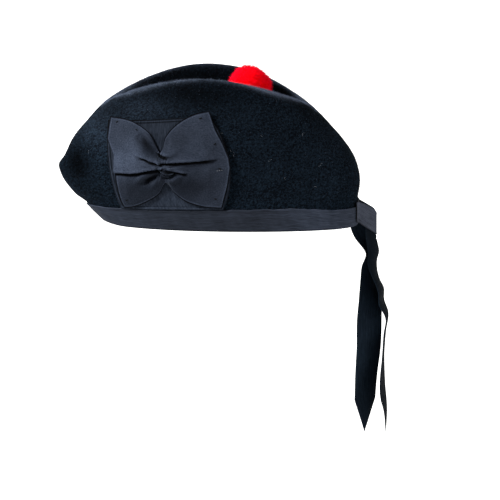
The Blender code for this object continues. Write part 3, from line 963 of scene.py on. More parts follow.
@dataclass
class FeltCrown:
    """The creased felt crown and its nap."""

    form: CrownForm
    columns: int = 150
    side_rows: int = 84
    fold_rows: int = 12
    crease_rows: int = 36
    edge_height: float = 0.0013
    bound_height: float = 0.025
    bound_fade: float = 0.010
    sag: float = 0.00045
    sag_grain: tuple = (26, 60)
    pucker: float = 0.0001
    pucker_grain: float = 240
    tip: float = 0.0013
    tip_reach: float = 0.0060
    # Painted shade in the crease
    crease_half: float = 0.030
    crease_fade: float = 0.012
    crease_rise: tuple = (0.09, 0.12)
    crease_dark: float = 0.55
    tone_range: tuple = (0.2, 3.0)
    # Brushed nap with a painted highlight along the ridges, weaker on the far side, and a painted highlight
    # on the upper front
    ridge_width: float = 0.0040
    ridge_drop: float = 0.0025
    ridge_pale: float = 2.2
    ridge_patches: float = 110
    ridge_samples: int = 60
    front_pale: float = 0.05
    front_ahead: tuple = (-0.02, 0.14)
    front_rise: tuple = (0.06, 0.12)
    far_share: float = 0.45
    hairs: int = 42000
    ridge_hairs: int = 26000
    hair: float = 0.0017
    hair_base: float = 0.00007
    hair_root: float = 0.0006
    hair_lean: float = 0.75
    hair_rise: float = 0.35
    hair_sizes: tuple = (0.45, 1.15)
    nap_height: float = 0.026

    def build(self) -> bpy.types.Object:
        """The felt as one wall, slightly uneven, with its inside face."""
        grid = []
        for i in range(self.columns + 1):
            along = evenly_from_ends(i, self.columns)
            column = self.form.column(along, self.side_rows, self.fold_rows, self.crease_rows)
            column[0].z = self.edge_height
            grid.append(column)
        sheet = grid_sheet(np.array(grid))
        mirror_halves(sheet)
        sheet.normal_update()
        for vertex in sheet.verts:
            if vertex.co.z >= self.bound_height:
                vertex.co = self.moved(vertex.co, vertex.normal)
        piece = to_object("felt_crown", sheet)
        set_attribute(piece, "nap_and_highlight", self.nap_and_highlight(piece))
        set_attribute(piece, "tone", self.tone(piece))
        add_wall(piece, self.form.felt, -1.0)
        return piece

    def moved(self, place: Vector, normal: Vector) -> Vector:
        """A point of the felt after its sag, puckers and dents, with the tip drawn out."""
        coarse, fine = self.sag_grain
        slow = noise.noise(place * coarse) + 0.5 * noise.noise(place * fine)
        quick = noise.noise(place * self.pucker_grain)
        fade = min((place.z - self.bound_height) / self.bound_fade, 1.0)
        push = self.sag * (slow - 0.5) + self.pucker * (quick - 1)
        for dent in DENTS:
            push += dent.push * bell(math.hypot(place.y - dent.y, place.z - dent.z), 0.0, dent.reach)
        drawn = self.tip * bell((place - Vector(TIP)).length, 0.0, self.tip_reach)
        return place + normal * push * fade + Vector((0, -drawn, 0))

    def tone(self, piece: bpy.types.Object) -> np.ndarray:
        """Painted light and shade on the felt at each vertex, with painted shade in the crease."""
        x, y, z = np.array([vertex.co[:] for vertex in piece.data.vertices]).T
        in_crease = ramp(self.crease_half - np.abs(x), 0.0, self.crease_fade) * ramp(z, *self.crease_rise)
        tone = (1 + tone_over(TONES, y, z)) * (1 - self.crease_dark * in_crease)
        return np.clip(tone, *self.tone_range)

    def nap_and_highlight(self, piece: bpy.types.Object) -> np.ndarray:
        """How much paler the felt is at each vertex: brushed nap with a painted highlight along the ridges,
        weaker on the far side, and a painted highlight on the upper front.
        """
        values = []
        samples = self.ridge_samples
        ridge = np.array([self.form.side(evenly_from_ends(i, samples), 1.0) for i in range(samples + 1)])
        for vertex in piece.data.vertices:
            x, y, z = vertex.co
            ridge_x = np.interp(y, ridge[:, 1], ridge[:, 0])
            ridge_z = np.interp(y, ridge[:, 1], ridge[:, 2])
            off = math.hypot(abs(x) - ridge_x, z - ridge_z + self.ridge_drop)
            patch = 0.75 + 0.45 * noise.noise(vertex.co * self.ridge_patches)
            # The painted highlight is weaker on the far side
            far = self.far_share if x < 0 else 1.0
            nap_highlight = self.ridge_pale * far * patch * bell(off, 0.0, self.ridge_width)
            # A painted highlight on the upper front, which faces the key lamp
            front = self.front_pale * ramp(-y, *self.front_ahead) * ramp(z, *self.front_rise)
            values.append(nap_highlight + front)
        return np.array(values)

    def nap(self, crown: bpy.types.Object, name: str, count: int, on_ridge: float) -> bpy.types.Object:
        """Short hairs that stand off the felt.

        Args:
            crown: The felt.
            name: Of the nap.
            count: How many hairs.
            on_ridge: How much thicker they stand along the ridges.

        Returns:
            The nap.
        """
        random = np.random.default_rng(count)
        mesh = crown.data
        weights = np.array([p.area for p in mesh.polygons])
        centres = np.array([p.center for p in mesh.polygons])
        normals = np.array([p.normal for p in mesh.polygons])
        weights[centres[:, 2] < self.nap_height] = 0.0
        ridge = np.zeros(len(mesh.vertices))
        mesh.attributes["nap_and_highlight"].data.foreach_get("value", ridge)
        firsts = np.array([p.vertices[0] for p in mesh.polygons])
        weights *= (1 + on_ridge) ** -2 + on_ridge * ridge[firsts] ** 2
        chosen = random.choice(len(weights), count, p=weights / weights.sum())
        outward = normals[chosen]
        directions = outward + random.normal(0, self.hair_lean, (count, 3))
        directions += outward * np.clip(self.hair_rise - (directions * outward).sum(1), 0, 9)[:, None]
        sizes = random.uniform(*self.hair_sizes, count)
        roots = centres[chosen] + random.normal(0, self.hair_root, (count, 3)) - outward * self.hair_root
        places = []
        for root, direction, size in zip(roots, directions, sizes):
            turn = Vector(direction).to_track_quat("Z", "Y").to_matrix().to_4x4()
            places.append(np.array(Matrix.Translation(root) @ turn @ Matrix.Scale(float(size), 4)))
        return scatter(name, spike(self.hair_base, self.hair), np.array(places))


# A pale selvedge with a painted highlight at the edges, a painted shadow line just under the top edge where
# the felt overhangs, and a paler streak below it
BINDING_RIM = RimShade(0.0005, 0.0012, 0.36)
BINDING_LINES = table(LineShade, (0.0058, 0.0013, 0.16), (0.0022, 0.0010, -0.112))


@dataclass
class Binding:
    """The ribbon that binds the felt's edge."""

    form: CrownForm
    ribbon: float = 0.0010
    stand: float = 0.0008
    clearance: float = 0.0003
    height: float = 0.0240
    inside: float = 0.0100
    prow_rise: float = 0.0026
    rear_taper: float = 0.19
    taper: tuple = (0.74, 0.97)
    wobble: float = 0.00022
    wobble_pace: float = 61
    quick_wobble: float = 0.00016
    quick_pace: float = 143
    pucker: float = 0.00012
    pucker_pace: float = 190
    pucker_drift: float = 37
    prow_length: float = 0.10
    prow_height: float = 0.012
    # Painted light: the band is paler towards its front and its rear
    front_shade: float = 0.42
    front_fade: tuple = (0.0, 0.30)
    rear_shade: float = 0.95
    rear_fade: tuple = (0.60, 0.95)
    outward_from: float = 0.02
    columns: int = 210
    rows: int = 22
    under_rows: int = 8
    inner_rows: int = 5

    def profile(self, along: float) -> list[Vector]:
        """Middle line at one column: down the outside, round the felt's edge, up inside."""
        stand = self.stand + self.ribbon / 2
        wobble = self.wobble * math.sin(along * self.wobble_pace)
        wobble += self.quick_wobble * math.sin(along * self.quick_pace + 1)
        height = self.height * (1 - self.rear_taper * float(ramp(along, *self.taper)))
        top = self.form.up_at(along, height + wobble)
        outer = []
        for i in range(self.rows + 1):
            share = i / self.rows
            up = top * (1 - share)
            drift = 2 * math.sin(along * self.pucker_drift)
            waves = math.sin(along * self.pucker_pace + drift) * math.sin(math.pi * share)
            normal = self.form.outward(along, max(up, self.outward_from))
            outer.append(self.form.side(along, up) + normal * (stand + self.pucker * waves))
        inner_top = self.form.up_at(along, self.inside, self.form.felt)
        inner = []
        for i in range(self.inner_rows + 1):
            up = inner_top * i / self.inner_rows
            normal = self.form.outward(along, max(up, self.outward_from), self.form.felt)
            inner.append(self.form.side(along, up, self.form.felt) - normal * stand)
        edge = self.ribbon + self.clearance
        prow = self.prow_rise * max(1 - along / self.prow_length, 0.0) ** 2
        outer[-1].z = edge
        inner[0].z = edge
        under = []
        for i in range(1, self.under_rows):
            k = i / self.under_rows
            point = mix(outer[-1], inner[0], k)
            point.z = edge - (edge - self.ribbon / 2) * math.sin(math.pi * k) ** 0.5
            under.append(point)
        for point in outer + under + inner:
            point.z += prow * max(1 - point.z / self.prow_height, 0.0)
        return outer + under + inner

    def build(self) -> bpy.types.Object:
        """The binding, as one ribbon round both sides of the felt's edge."""
        places = np.array([evenly_from_ends(i, self.columns) for i in range(self.columns + 1)])
        points = np.array([self.profile(float(along)) for along in places])
        run, down = lengths_along(points, 0), lengths_along(points, 1)
        marks = BINDING_RIM.at(edge_distance(points)[0]) + sum(line.at(down) for line in BINDING_LINES)
        # Painted light towards the front and rear ends
        ends = self.front_shade * (1 - ramp(places, *self.front_fade))
        ends += self.rear_shade * ramp(places, *self.rear_fade)
        piece = cloth(
            "ribbon_binding", points, marks + ends[:, None], self.ribbon * 0.8, shape=mirror_halves
        )
        return piece


# Paler turned edges, a painted shadow outline along the low edge and the cut ends, and painted shade along
# the crease near the ends
LOOP_RIM = RimShade(0.0003, 0.0009, 0.6)
LOOP_OUTLINE = RimShade(0.0003, 0.0009, -1.4)
LOOP_CREASE = LineShade(0.0032, 0.0004, -1.0)


@dataclass
class RearLoop:
    """The ribbon folded into a loop behind the head."""

    form: CrownForm
    binding: Binding
    width: float = 0.0215
    reach: float = 0.0190
    half_span: float = 0.0180
    seam: float = 0.0060
    drop: float = 0.0145
    fold: float = 0.0030
    fold_begin: float = 0.65
    near_rise: float = 0.0030
    near_lift: float = 0.0042
    corner: float = 0.0030
    shoulder: float = 0.26
    far_fall: float = 0.0035
    hem: float = 0.00022
    hem_share: float = 0.12
    slack: float = 0.0009
    crease_begin: tuple = (0.002, 0.004)
    crease_end: tuple = (0.009, 0.013)
    read_up: float = 0.08
    rows: int = 22
    seam_steps: int = 6
    run_steps: int = 16
    fold_steps: int = 8

    def behind(self, x: float, stand: float) -> Vector:
        """Plan point over the back of the head opening at a given x."""
        low, high = 0.8, 1.0
        for _ in range(20):
            along = (low + high) / 2
            if self.form.side(along, self.read_up).x > x:
                low = along
            else:
                high = along
        point = self.form.side(low, self.read_up) + self.form.outward(low, self.read_up) * stand
        return Vector((point.x, point.y, 0))

    def path(self) -> list[Vector]:
        """Plan points of the loop from its near end round the fold to its far end."""
        stand = self.binding.stand + 1.5 * self.binding.ribbon + self.binding.clearance
        points = []
        for i in range(self.seam_steps + 1):
            points.append(self.behind(self.half_span + self.seam * (1 - i / self.seam_steps), stand))
        leaving = points[-1]
        fold_y = self.form.rim_length / 2 + self.reach - self.fold
        begin = self.fold_begin
        turn = Vector((self.fold * math.cos(begin), fold_y + self.fold * math.sin(begin), 0))
        for i in range(1, self.run_steps + 1):
            k = i / self.run_steps
            points.append(mix(leaving, turn, k) + Vector((self.slack * math.sin(math.pi * k), 0, 0)))
        for i in range(1, self.fold_steps + 1):
            angle = mix(begin, math.pi / 2, i / self.fold_steps)
            points.append(Vector((self.fold * math.cos(angle), fold_y + self.fold * math.sin(angle), 0)))
        points[-1].x = 0.0
        return points + [Vector((-p.x, p.y, 0)) for p in reversed(points[:-1])]

    def tilt(self, x: float, share: float) -> float:
        """How much higher the near side's upper edge lies, and how much lower the far side."""
        side = min(max(x / self.half_span, -1.0), 1.0)
        if side > 0:
            return mix(self.near_lift, self.near_rise, share) * side**0.8
        return self.far_fall * side * ramp(-side, 0.0, 0.5)

    def rounding(self, end: float, share: float) -> float:
        """How the ribbon's cut end is turned under at its corners.

        Args:
            end: Distance from the cut end.
            share: Place across the ribbon.

        Returns:
            The shift towards the ribbon's middle.
        """
        if end >= self.corner:
            return 0.0
        cut = self.corner - math.sqrt(self.corner**2 - (self.corner - end) ** 2)
        return cut * (1 - 2 * share)

    def build(self) -> bpy.types.Object:
        """The loop with its two turned edges."""
        path = self.path()
        start = path[0].y
        reach = path[len(path) // 2].y - start
        walked = [0.0]
        for before, after in zip(path, path[1:]):
            walked.append(walked[-1] + (after - before).length)
        grid = []
        for point, gone in zip(path, walked):
            out = max((point.y - start) / reach, 0.0)
            outward = Vector((point.x, 0, 0)).normalized() if abs(point.x) > 1e-4 else Vector((0, 1, 0))
            row = []
            for i in range(self.rows + 1):
                share = i / self.rows
                fall = mix(out**0.9, mix(out, out**10, self.shoulder), share)
                z = self.binding.clearance - self.drop * fall + self.width * share
                z += self.tilt(point.x, share)
                z += self.rounding(min(gone, walked[-1] - gone), share)
                hem = self.hem * math.cos(math.pi * min(min(share, 1 - share) / self.hem_share, 1.0))
                row.append(Vector((point.x, point.y, z)) + outward * hem)
            grid.append(row)
        points = np.array(grid)
        sides, ends = edge_distance(points)
        low = np.linalg.norm(points - points[:, :1], axis=-1)
        # Painted shade along the crease, and a painted shadow outline on the low edge and cut ends
        crease = LOOP_CREASE.at(low) * ramp(ends, *self.crease_begin) * (1 - ramp(ends, *self.crease_end))
        marks = LOOP_RIM.at(sides) + LOOP_OUTLINE.at(np.minimum(low, ends)) + crease
        piece = cloth("rear_loop", points, marks, self.binding.ribbon * 0.9, shape=face_one_way)
        return piece


class TailRow(NamedTuple):
    """A place along a hanging ribbon: shares of its length, spread and width, and degrees."""

    drop: float
    back: float
    side: float
    width: float
    facing: float
    cup: float


BROAD_TAIL = table(
    TailRow,
    (0.000, 0.25, -0.03, 0.90, 0, 4),
    (0.040, 0.26, -0.03, 0.90, 0, 4),
    (0.070, 0.38, -0.05, 0.90, 6, 10),
    (0.098, 0.53, -0.17, 0.90, 36, 40),
    (0.125, 0.66, -0.27, 0.88, 58, 60),
    (0.150, 0.79, -0.32, 0.86, 62, 70),
    (0.220, 0.70, -0.30, 0.94, 50, 60),
    (0.300, 0.66, -0.24, 0.97, 44, 50),
    (0.380, 0.67, -0.12, 1.00, 28, 36),
    (0.480, 0.61, 0.00, 1.00, 10, 30),
    (0.600, 0.59, 0.04, 1.00, 16, 30),
    (0.720, 0.50, 0.04, 1.00, 28, 34),
    (0.840, 0.44, 0.04, 1.00, 34, 36),
    (1.000, 0.36, 0.02, 1.00, 34, 30),
)
TURNED_TAIL = table(
    TailRow,
    (0.000, 0.640, 0.330, 0.50, 46, 4),
    (0.040, 0.640, 0.330, 0.50, 46, 4),
    (0.068, 0.680, 0.310, 0.52, 47, 12),
    (0.105, 0.800, 0.200, 0.66, 52, 40),
    (0.160, 0.900, 0.10, 0.80, 58, 50),
    (0.190, 0.860, 0.08, 0.86, 64, 50),
    (0.255, 0.970, 0.06, 0.95, 78, 40),
    (0.290, 1.100, 0.04, 1.00, 82, 34),
    (0.330, 1.240, 0.00, 1.00, 78, 26),
    (0.385, 1.240, -0.04, 1.00, 79, 14),
    (0.450, 1.500, -0.05, 1.00, 84, 14),
    (0.525, 1.400, -0.04, 1.00, 85, 12),
    (0.630, 1.320, 0.00, 1.00, 85, 12),
    (0.810, 1.300, 0.02, 1.00, 78, 14),
    (0.890, 1.410, 0.02, 1.00, 80, 14),
    (1.000, 1.410, 0.02, 1.00, 78, 10),
)


TAIL_RIM = RimShade(0.0004, 0.0012)


@dataclass
class HangingRibbon:
    """One of the two ribbons that hang behind the head."""

    name: str
    rows_down: tuple
    back_edge: float
    width: float = 0.0250
    length: float = 0.2130
    spread: float = 0.0200
    point_start: float = 0.845
    tucked: float = 0.0090
    thickness: float = 0.0007
    # Painted light on the whole tail where positive, painted shade where negative
    tone: float = 0.0
    rows: int = 190
    facets: int = 18
    clearance: float = 0.0003
    ripple: float = 0.00025
    ripple_pace: float = 9
    ripple_from: tuple = (0.08, 0.2)
    least_cup: float = 4.0
    least_width: float = 0.03

    def build(self) -> bpy.types.Object:
        """The ribbon, cupped and turned as its table says, with a soft ripple."""
        grid = []
        for i in range(self.rows + 1):
            drop = mix(-self.tucked / self.length, 1.0, i / self.rows)
            row = row_at(self.rows_down, max(drop, 0.0))
            width = self.width * row.width
            if drop > self.point_start:
                width *= max(1 - (drop - self.point_start) / (1 - self.point_start), self.least_width)
            y = self.back_edge + self.spread * row.back
            centre = Vector((self.spread * row.side, y, -self.clearance - self.length * drop))
            facing = math.radians(row.facing)
            across = Vector((-math.sin(facing), math.cos(facing), 0))
            normal = Vector((math.cos(facing), math.sin(facing), 0))
            cup = math.radians(max(row.cup, self.least_cup))
            radius = width / cup
            points = []
            for j in range(self.facets + 1):
                share = j / self.facets - 0.5
                angle = cup * share
                place = Vector((share * 2, drop * self.ripple_pace, 3.0))
                wave = self.ripple * noise.noise(place) * ramp(drop, *self.ripple_from)
                deep = radius * (math.cos(angle) - 1) + wave
                points.append(centre + across * (radius * math.sin(angle)) + normal * deep)
            grid.append(points)
        points = np.array(grid)
        # A pale selvedge, with painted light or painted shade over the whole tail by the sign of its value
        marks = TAIL_RIM.at(edge_distance(points)[0]) + self.tone
        piece = cloth(self.name, points, marks, self.thickness)
        return piece


class EdgePoint(NamedTuple):
    """A point of a wing's outer edge, in shares of the bow's half height and half length."""

    z: float
    y: float


FRONT_EDGE = table(
    EdgePoint,
    (-0.97, -0.605),
    (-0.80, -0.670),
    (-0.60, -0.720),
    (-0.40, -0.752),
    (-0.21, -0.772),
    (-0.14, -0.800),
    (0.159, -0.793),
    (0.362, -0.861),
    (0.480, -0.900),
    (0.700, -0.872),
    (0.930, -0.835),
)
REAR_EDGE = table(
    EdgePoint,
    (-0.90, 1.060),
    (-0.386, 1.162),
    (-0.020, 1.204),
    (0.193, 1.180),
    (0.477, 1.086),
    (0.788, 0.950),
    (1.180, 0.839),
)


class BowRow(NamedTuple):
    """A station along the bow, from its front edge to its rear edge, in shares of the half sizes."""

    along: float
    top_y: float
    top_z: float
    low_y: float
    low_z: float


BOW_ROWS = table(
    BowRow,
    (-1.00, -0.835, 0.915, -0.625, -0.955),
    (-0.75, -0.600, 0.910, -0.440, -0.915),
    (-0.50, -0.400, 0.845, -0.220, -0.790),
    (-0.25, -0.180, 0.660, -0.020, -0.615),
    (0.00, 0.005, 0.290, 0.102, -0.367),
    (0.25, 0.100, 0.620, 0.240, -0.570),
    (0.50, 0.300, 0.890, 0.440, -0.755),
    (0.75, 0.560, 1.080, 0.720, -0.865),
    (1.00, 0.840, 1.170, 1.070, -0.900),
)


class RidgePoint(NamedTuple):
    """Where the bow stands highest: shares from the front edge to the rear one, and from the low hem up."""

    along: float
    across: float


BOW_RIDGE = table(
    RidgePoint,
    (-1.0, -0.20),
    (-0.3, -0.13),
    (0.0, 0.00),
    (0.3, 0.05),
    (1.0, 0.06),
)


class Pleat(NamedTuple):
    """A fold whose lip hangs over: its line in shares, sizes in metres, and how strong its two ends are."""

    line: tuple
    lip: float
    groove: float
    overhang: float
    above: float
    below: float
    begin: float
    end: float


class Tuck(NamedTuple):
    """A soft ridge (positive) or hollow (negative): its line in shares, height and width (m)."""

    line: tuple
    height: float
    width: float


# Each line runs towards the rear; the upper side hangs over the lower one
PLEATS = table(
    Pleat,
    (((-0.92, -0.190), (-0.43, -0.140), (-0.18, -0.072), (0.02, -0.035)),
     0.0026, 0.0020, 0.0012, 0.012, 0.0060, 1.0, 0.6),
    (((0.00, 0.085), (0.09, 0.104), (0.30, 0.127), (0.59, 0.158), (0.92, 0.178)),
     0.0026, 0.0020, 0.0012, 0.010, 0.0055, 0.9, 0.3),
    (((0.17, -0.045), (0.29, -0.075), (0.40, -0.105), (0.50, -0.130)),
     0.0018, 0.0018, 0.0009, 0.005, 0.0040, 1.0, 0.0),
    (((-0.37, 0.190), (-0.24, 0.165), (-0.14, 0.110), (-0.01, 0.085)),
     0.0022, 0.0022, 0.0009, 0.005, 0.0045, 0.2, 0.9),
    (((-0.02, 0.275), (0.05, 0.245), (0.15, 0.235)),
     0.0024, 0.0014, 0.0009, 0.005, 0.0040, 0.5, 0.2),
)
TUCKS = table(
    Tuck,
    (((-0.38, 0.62), (-0.28, 0.48), (-0.14, 0.32), (-0.05, 0.22)), -0.0056, 0.0050),
    (((-0.30, 0.72), (-0.14, 0.48), (-0.01, 0.27)), 0.0022, 0.0036),
    (((-0.20, 0.30), (-0.09, 0.19), (0.00, 0.11)), 0.0018, 0.0021),
    (((-0.60, 0.42), (-0.42, 0.34), (-0.24, 0.26)), 0.0022, 0.0050),
    (((-0.28, -0.36), (-0.17, -0.27), (-0.03, -0.17)), -0.0046, 0.0036),
    (((-0.40, -0.36), (-0.28, -0.22), (-0.10, -0.12)), 0.0024, 0.0024),
    (((-0.12, -0.42), (-0.02, -0.28), (0.03, -0.16)), 0.0012, 0.0030),
    (((-0.04, 0.12), (0.08, 0.200), (0.26, 0.290)), 0.0020, 0.0023),
    (((0.16, 0.60), (0.10, 0.42), (0.04, 0.31)), -0.0014, 0.0030),
    (((0.01, -0.215), (0.14, -0.250), (0.25, -0.170)), -0.0024, 0.0016),
    (((0.05, -0.320), (0.20, -0.310), (0.36, -0.200)), 0.0017, 0.0024),
    (((0.10, 0.42), (0.30, 0.55), (0.55, 0.62)), -0.0010, 0.0090),
    (((0.20, -0.42), (0.50, -0.50), (0.85, -0.45)), -0.0010, 0.0100),
    (((-0.75, 0.10), (-0.45, 0.05)), 0.0012, 0.0080),
)


# Painted light and shade on the bow, lighter on the front wing and darker on the lower wings, in shares of
# its half length and half height
BOW_TONES = table(
    ToneSpot,
    (-0.58, 0.06, 0.32, 0.28, 1.15),
    (-0.40, 0.44, 0.12, 0.26, 0.55),
    (-0.45, -0.52, 0.44, 0.38, -0.48),
    (0.45, -0.42, 0.48, 0.42, -0.42),
    (-0.27, 0.44, 0.09, 0.20, -0.30),
    (0.34, 0.60, 0.22, 0.44, -0.16),
    (0.62, 0.36, 0.22, 0.26, 0.16),
)


# A paler turned border, a painted shadow outline at its very edge and a darker stitched seam
PANEL_RIM = RimShade(0.0006, 0.0012, -1.0)
PANEL_LINE = LineShade(0.0016, 0.0005, 0.8)
PANEL_SEAM = LineShade(0.0028, 0.00055)
PANEL_HEM = RimShade(0.0024, 0.0032)
# A pale selvedge line inside the bow's hem, and a painted shadow outline at the hem
BOW_RIM = RimShade(0.0007, 0.0013, -1.0)
BOW_LINE = LineShade(0.0018, 0.0006, 0.80)
BOW_HEM = RimShade(0.0005, 0.0014)


@dataclass(frozen=True)
class FoldShape:
    """How the bow's pleats and tucks are rounded, with painted shade in their grooves and hollows and a
    painted highlight on their lips, in metres and in shares of each line.
    """

    begin_over: float = 0.3
    end_from: float = 0.6
    tip_fade: float = 0.0035
    lip_turn: tuple = (-0.0005, 0.0004)
    span: float = 2.6
    pull_reach: float = 0.0022
    dark: float = 1.9
    dark_near: float = 0.0026
    dark_far: float = 0.0050
    shine: LineShade = LineShade(0.0012, 0.0011, 0.55)
    tuck_begin: tuple = (-0.15, 0.35)
    tuck_end: tuple = (0.8, 1.0)
    tuck_end_loss: float = 0.35
    tuck_dark: float = 0.72
    tuck_full: float = 0.0045


@dataclass(frozen=True)
class KnotShape:
    """The bow's pinched middle: places in shares of its half sizes, sizes in metres."""

    gathers_at: tuple = (0.06, -0.03)
    gathers: float = 0.00042
    gathers_reach: float = 0.017
    gathers_clear: tuple = (0.002, 0.007)
    gathers_turns: float = 17
    leaf_at: tuple = (0.118, -0.075)
    leaf_turn: float = math.radians(-12)
    leaf_half: tuple = (0.0074, 0.0040)
    leaf_rise: float = 0.0026
    leaf_groove: float = 0.0024


@dataclass
class Cockade:
    """The cockade's backing and its bow."""

    wall: WallMap
    binding: Binding
    shape: FoldShape = FoldShape()
    knot: KnotShape = KnotShape()
    centre_y: float = -0.0690
    centre_z: float = 0.0670
    panel_width: float = 0.0990
    panel_top: float = 0.1114
    panel_rise: float = 0.0052
    panel_shift: float = 0.0055
    panel_slant: float = 0.0063
    panel_bulge: float = 0.0110
    bulge_middle: float = 0.325
    bulge_slope: float = 0.875
    panel_gap: float = 0.0003
    panel_columns: int = 150
    panel_rows: int = 120
    hem_stand: float = 0.00045
    seam_depth: float = 0.00040
    panel_waves: tuple = ((0.00008, 900), (0.00006, 700))
    # Painted light on the panel's lower half, where the bow shades it, and painted shade on its upper half
    low_shade: float = 0.7
    top_shade: float = 0.28
    bow_length: float = 0.1140
    bow_height: float = 0.0930
    bow_lift: float = 0.0078
    bow_swell: tuple = (0.05, 0.95)
    bow_hollow: tuple = (1.05, 1.3)
    end_steepness: float = 5
    hem_steepness: float = 9
    bow_clearance: float = 0.0005
    bow_seat: float = 0.0006
    bow_least: float = 0.0004
    bow_hem: float = 0.00022
    bow_wave: float = 0.00016
    bow_along: int = 240
    bow_across: int = 200

    @property
    def half_sizes(self) -> np.ndarray:
        """Half of the bow's length and height."""
        return np.array([self.bow_length / 2, self.bow_height / 2])

    def band_top(self, y: float) -> float:
        """Height of the binding's top edge at a given y."""
        z = self.binding.height
        for _ in range(3):
            along, _up = self.wall.place(y, z)
            up = self.wall.form.up_at(along, self.binding.height + 2 * self.binding.clearance)
            z = self.wall.form.side(along, up).z
        return z

    def backing(self) -> bpy.types.Object:
        """The backing with its turned and stitched border."""
        a = np.linspace(-1, 1, self.panel_columns + 1)
        b = np.linspace(-1, 1, self.panel_rows + 1)
        middle = self.centre_y + self.panel_shift + self.panel_width / 2 * a
        bottom = np.interp(a, a[::10], [self.band_top(float(y)) for y in middle[::10] + self.panel_slant])
        top = self.panel_top + self.panel_rise * a
        grid_a, grid_b = np.meshgrid(a, b, indexing="ij")
        bulge = self.panel_bulge * (1 - grid_b**2) * (self.bulge_slope * grid_a + self.bulge_middle)
        y = middle[:, None] - self.panel_slant * grid_b + bulge
        z = mix(bottom[:, None], top[:, None], (1 + grid_b) / 2)
        distance = edge_distance(self.wall.points(y, z, np.zeros_like(y))).min(axis=0)
        seam = PANEL_SEAM.at(distance)
        (wave_y, pace_y), (wave_z, pace_z) = self.panel_waves
        wave = wave_y * np.sin(y * pace_y) + wave_z * np.sin(z * pace_z)
        border = self.hem_stand * PANEL_HEM.at(distance) - self.seam_depth * seam
        points = self.wall.points(y, z, self.binding.stand + border + wave + self.panel_gap)
        pale = PANEL_LINE.at(distance) + PANEL_RIM.at(distance) - seam
        # Painted light low down, where the bow shades the panel, and painted shade towards the top
        slope = np.where(grid_b < 0, self.low_shade, self.top_shade) * grid_b
        marks = np.clip(pale - slope, -1.0, 1.0)
        piece = cloth("cockade_backing", points, marks, self.binding.ribbon * 0.8, offset=1.0)
        return piece

    def along_line(self, y: np.ndarray, z: np.ndarray, line: tuple) -> tuple[np.ndarray, ...]:
        """Where points lie beside a line.

        Args:
            y: Places in shares of the bow's half length.
            z: Heights in shares of its half height.
            line: The line's points in the same shares.

        Returns:
            Distance, signed distance (positive above the line), share of the line's length, and the
            upward direction across the line.
        """
        knots = np.array(line) * self.half_sizes
        here = np.stack([y, z], axis=-1) * self.half_sizes
        best = np.full(y.shape, 1e9)
        side = np.zeros(y.shape)
        share = np.zeros(y.shape)
        upward = np.zeros((*y.shape, 2))
        lengths = np.linalg.norm(np.diff(knots, axis=0), axis=-1)
        walked = np.concatenate([[0.0], np.cumsum(lengths)])
        for k in range(len(lengths)):
            run = (knots[k + 1] - knots[k]) / lengths[k]
            across = np.array([-run[1], run[0]])
            offset = here - knots[k]
            t = np.clip(offset @ run, 0, lengths[k])
            distance = np.linalg.norm(offset - t[..., None] * run, axis=-1)
            closer = distance < best
            best = np.where(closer, distance, best)
            side = np.where(closer, np.sign(offset @ across) * distance, side)
            share = np.where(closer, (walked[k] + t) / walked[-1], share)
            upward = np.where(closer[..., None], across, upward)
        return best, side, share, upward

    def folds(self, y: np.ndarray, z: np.ndarray, edge: np.ndarray) -> tuple[np.ndarray, ...]:
        """How the folds move the bow's cloth.

        Args:
            y: Places in shares of the half length.
            z: Heights in shares of the half height.
            edge: 0 at the hem, 1 well inside.

        Returns:
            The lift off the seat in metres, the slide along y and z in shares, and the painted shade in the
            folds less the painted highlight on their lips.
        """
        shape = self.shape
        height = self.bow_lift * edge * bell(y, *self.bow_swell)
        slide = np.zeros((*y.shape, 2))
        depth = np.zeros(y.shape)
        shine = np.zeros(y.shape)
        for pleat in PLEATS:
            best, side, share, upward = self.along_line(y, z, pleat.line)
            fade = mix(pleat.begin, 1.0, ramp(share, 0.0, shape.begin_over))
            fade = fade * mix(1.0, pleat.end, ramp(share, shape.end_from, 1.0))
            tips = (share <= 0) | (share >= 1)
            fade = fade * np.where(tips, bell(best, 0.0, shape.tip_fade), 1.0)
            upper = pleat.lip * np.exp(-np.maximum(side, 0) / pleat.above)
            lower = -pleat.groove * np.exp(-np.maximum(-side, 0) / pleat.below)
            over = ramp(side, *shape.lip_turn)
            height = height + mix(lower, upper, over) * fade * bell(best, 0.0, shape.span * pleat.above)
            pull = (1 - 2 * over) * pleat.overhang * fade * np.exp(-best / shape.pull_reach)
            slide = slide + upward * pull[..., None]
            slim = (pleat.lip / PLEATS[0].lip) ** 0.8
            # Painted shade in the groove under each lip, and a painted highlight along the lip
            near = RimShade(shape.dark_near * slim, shape.dark_far * slim, shape.dark).at(best)
            depth = np.maximum(depth, (1 - over) * fade**0.8 * near)
            shine = shine + over * fade * shape.shine.at(side)
        for tuck in TUCKS:
            best, _side, share, _upward = self.along_line(y, z, tuck.line)
            fade = ramp(share, *shape.tuck_begin) * (1 - shape.tuck_end_loss * ramp(share, *shape.tuck_end))
            profile = fade * bell(best, 0.0, tuck.width)
            height = height + tuck.height * profile
            # Painted shade in the hollows of the tucks
            depth = np.maximum(depth, shape.tuck_dark * min(-tuck.height / shape.tuck_full, 1.0) * profile)
        return height, slide / self.half_sizes, depth - shine

    def away_from(self, place: tuple, y: np.ndarray, z: np.ndarray) -> tuple[np.ndarray, np.ndarray]:
        """Metres along and up from one place of the bow to others, all given in shares."""
        return (y - place[0]) * self.bow_length / 2, (z - place[1]) * self.bow_height / 2

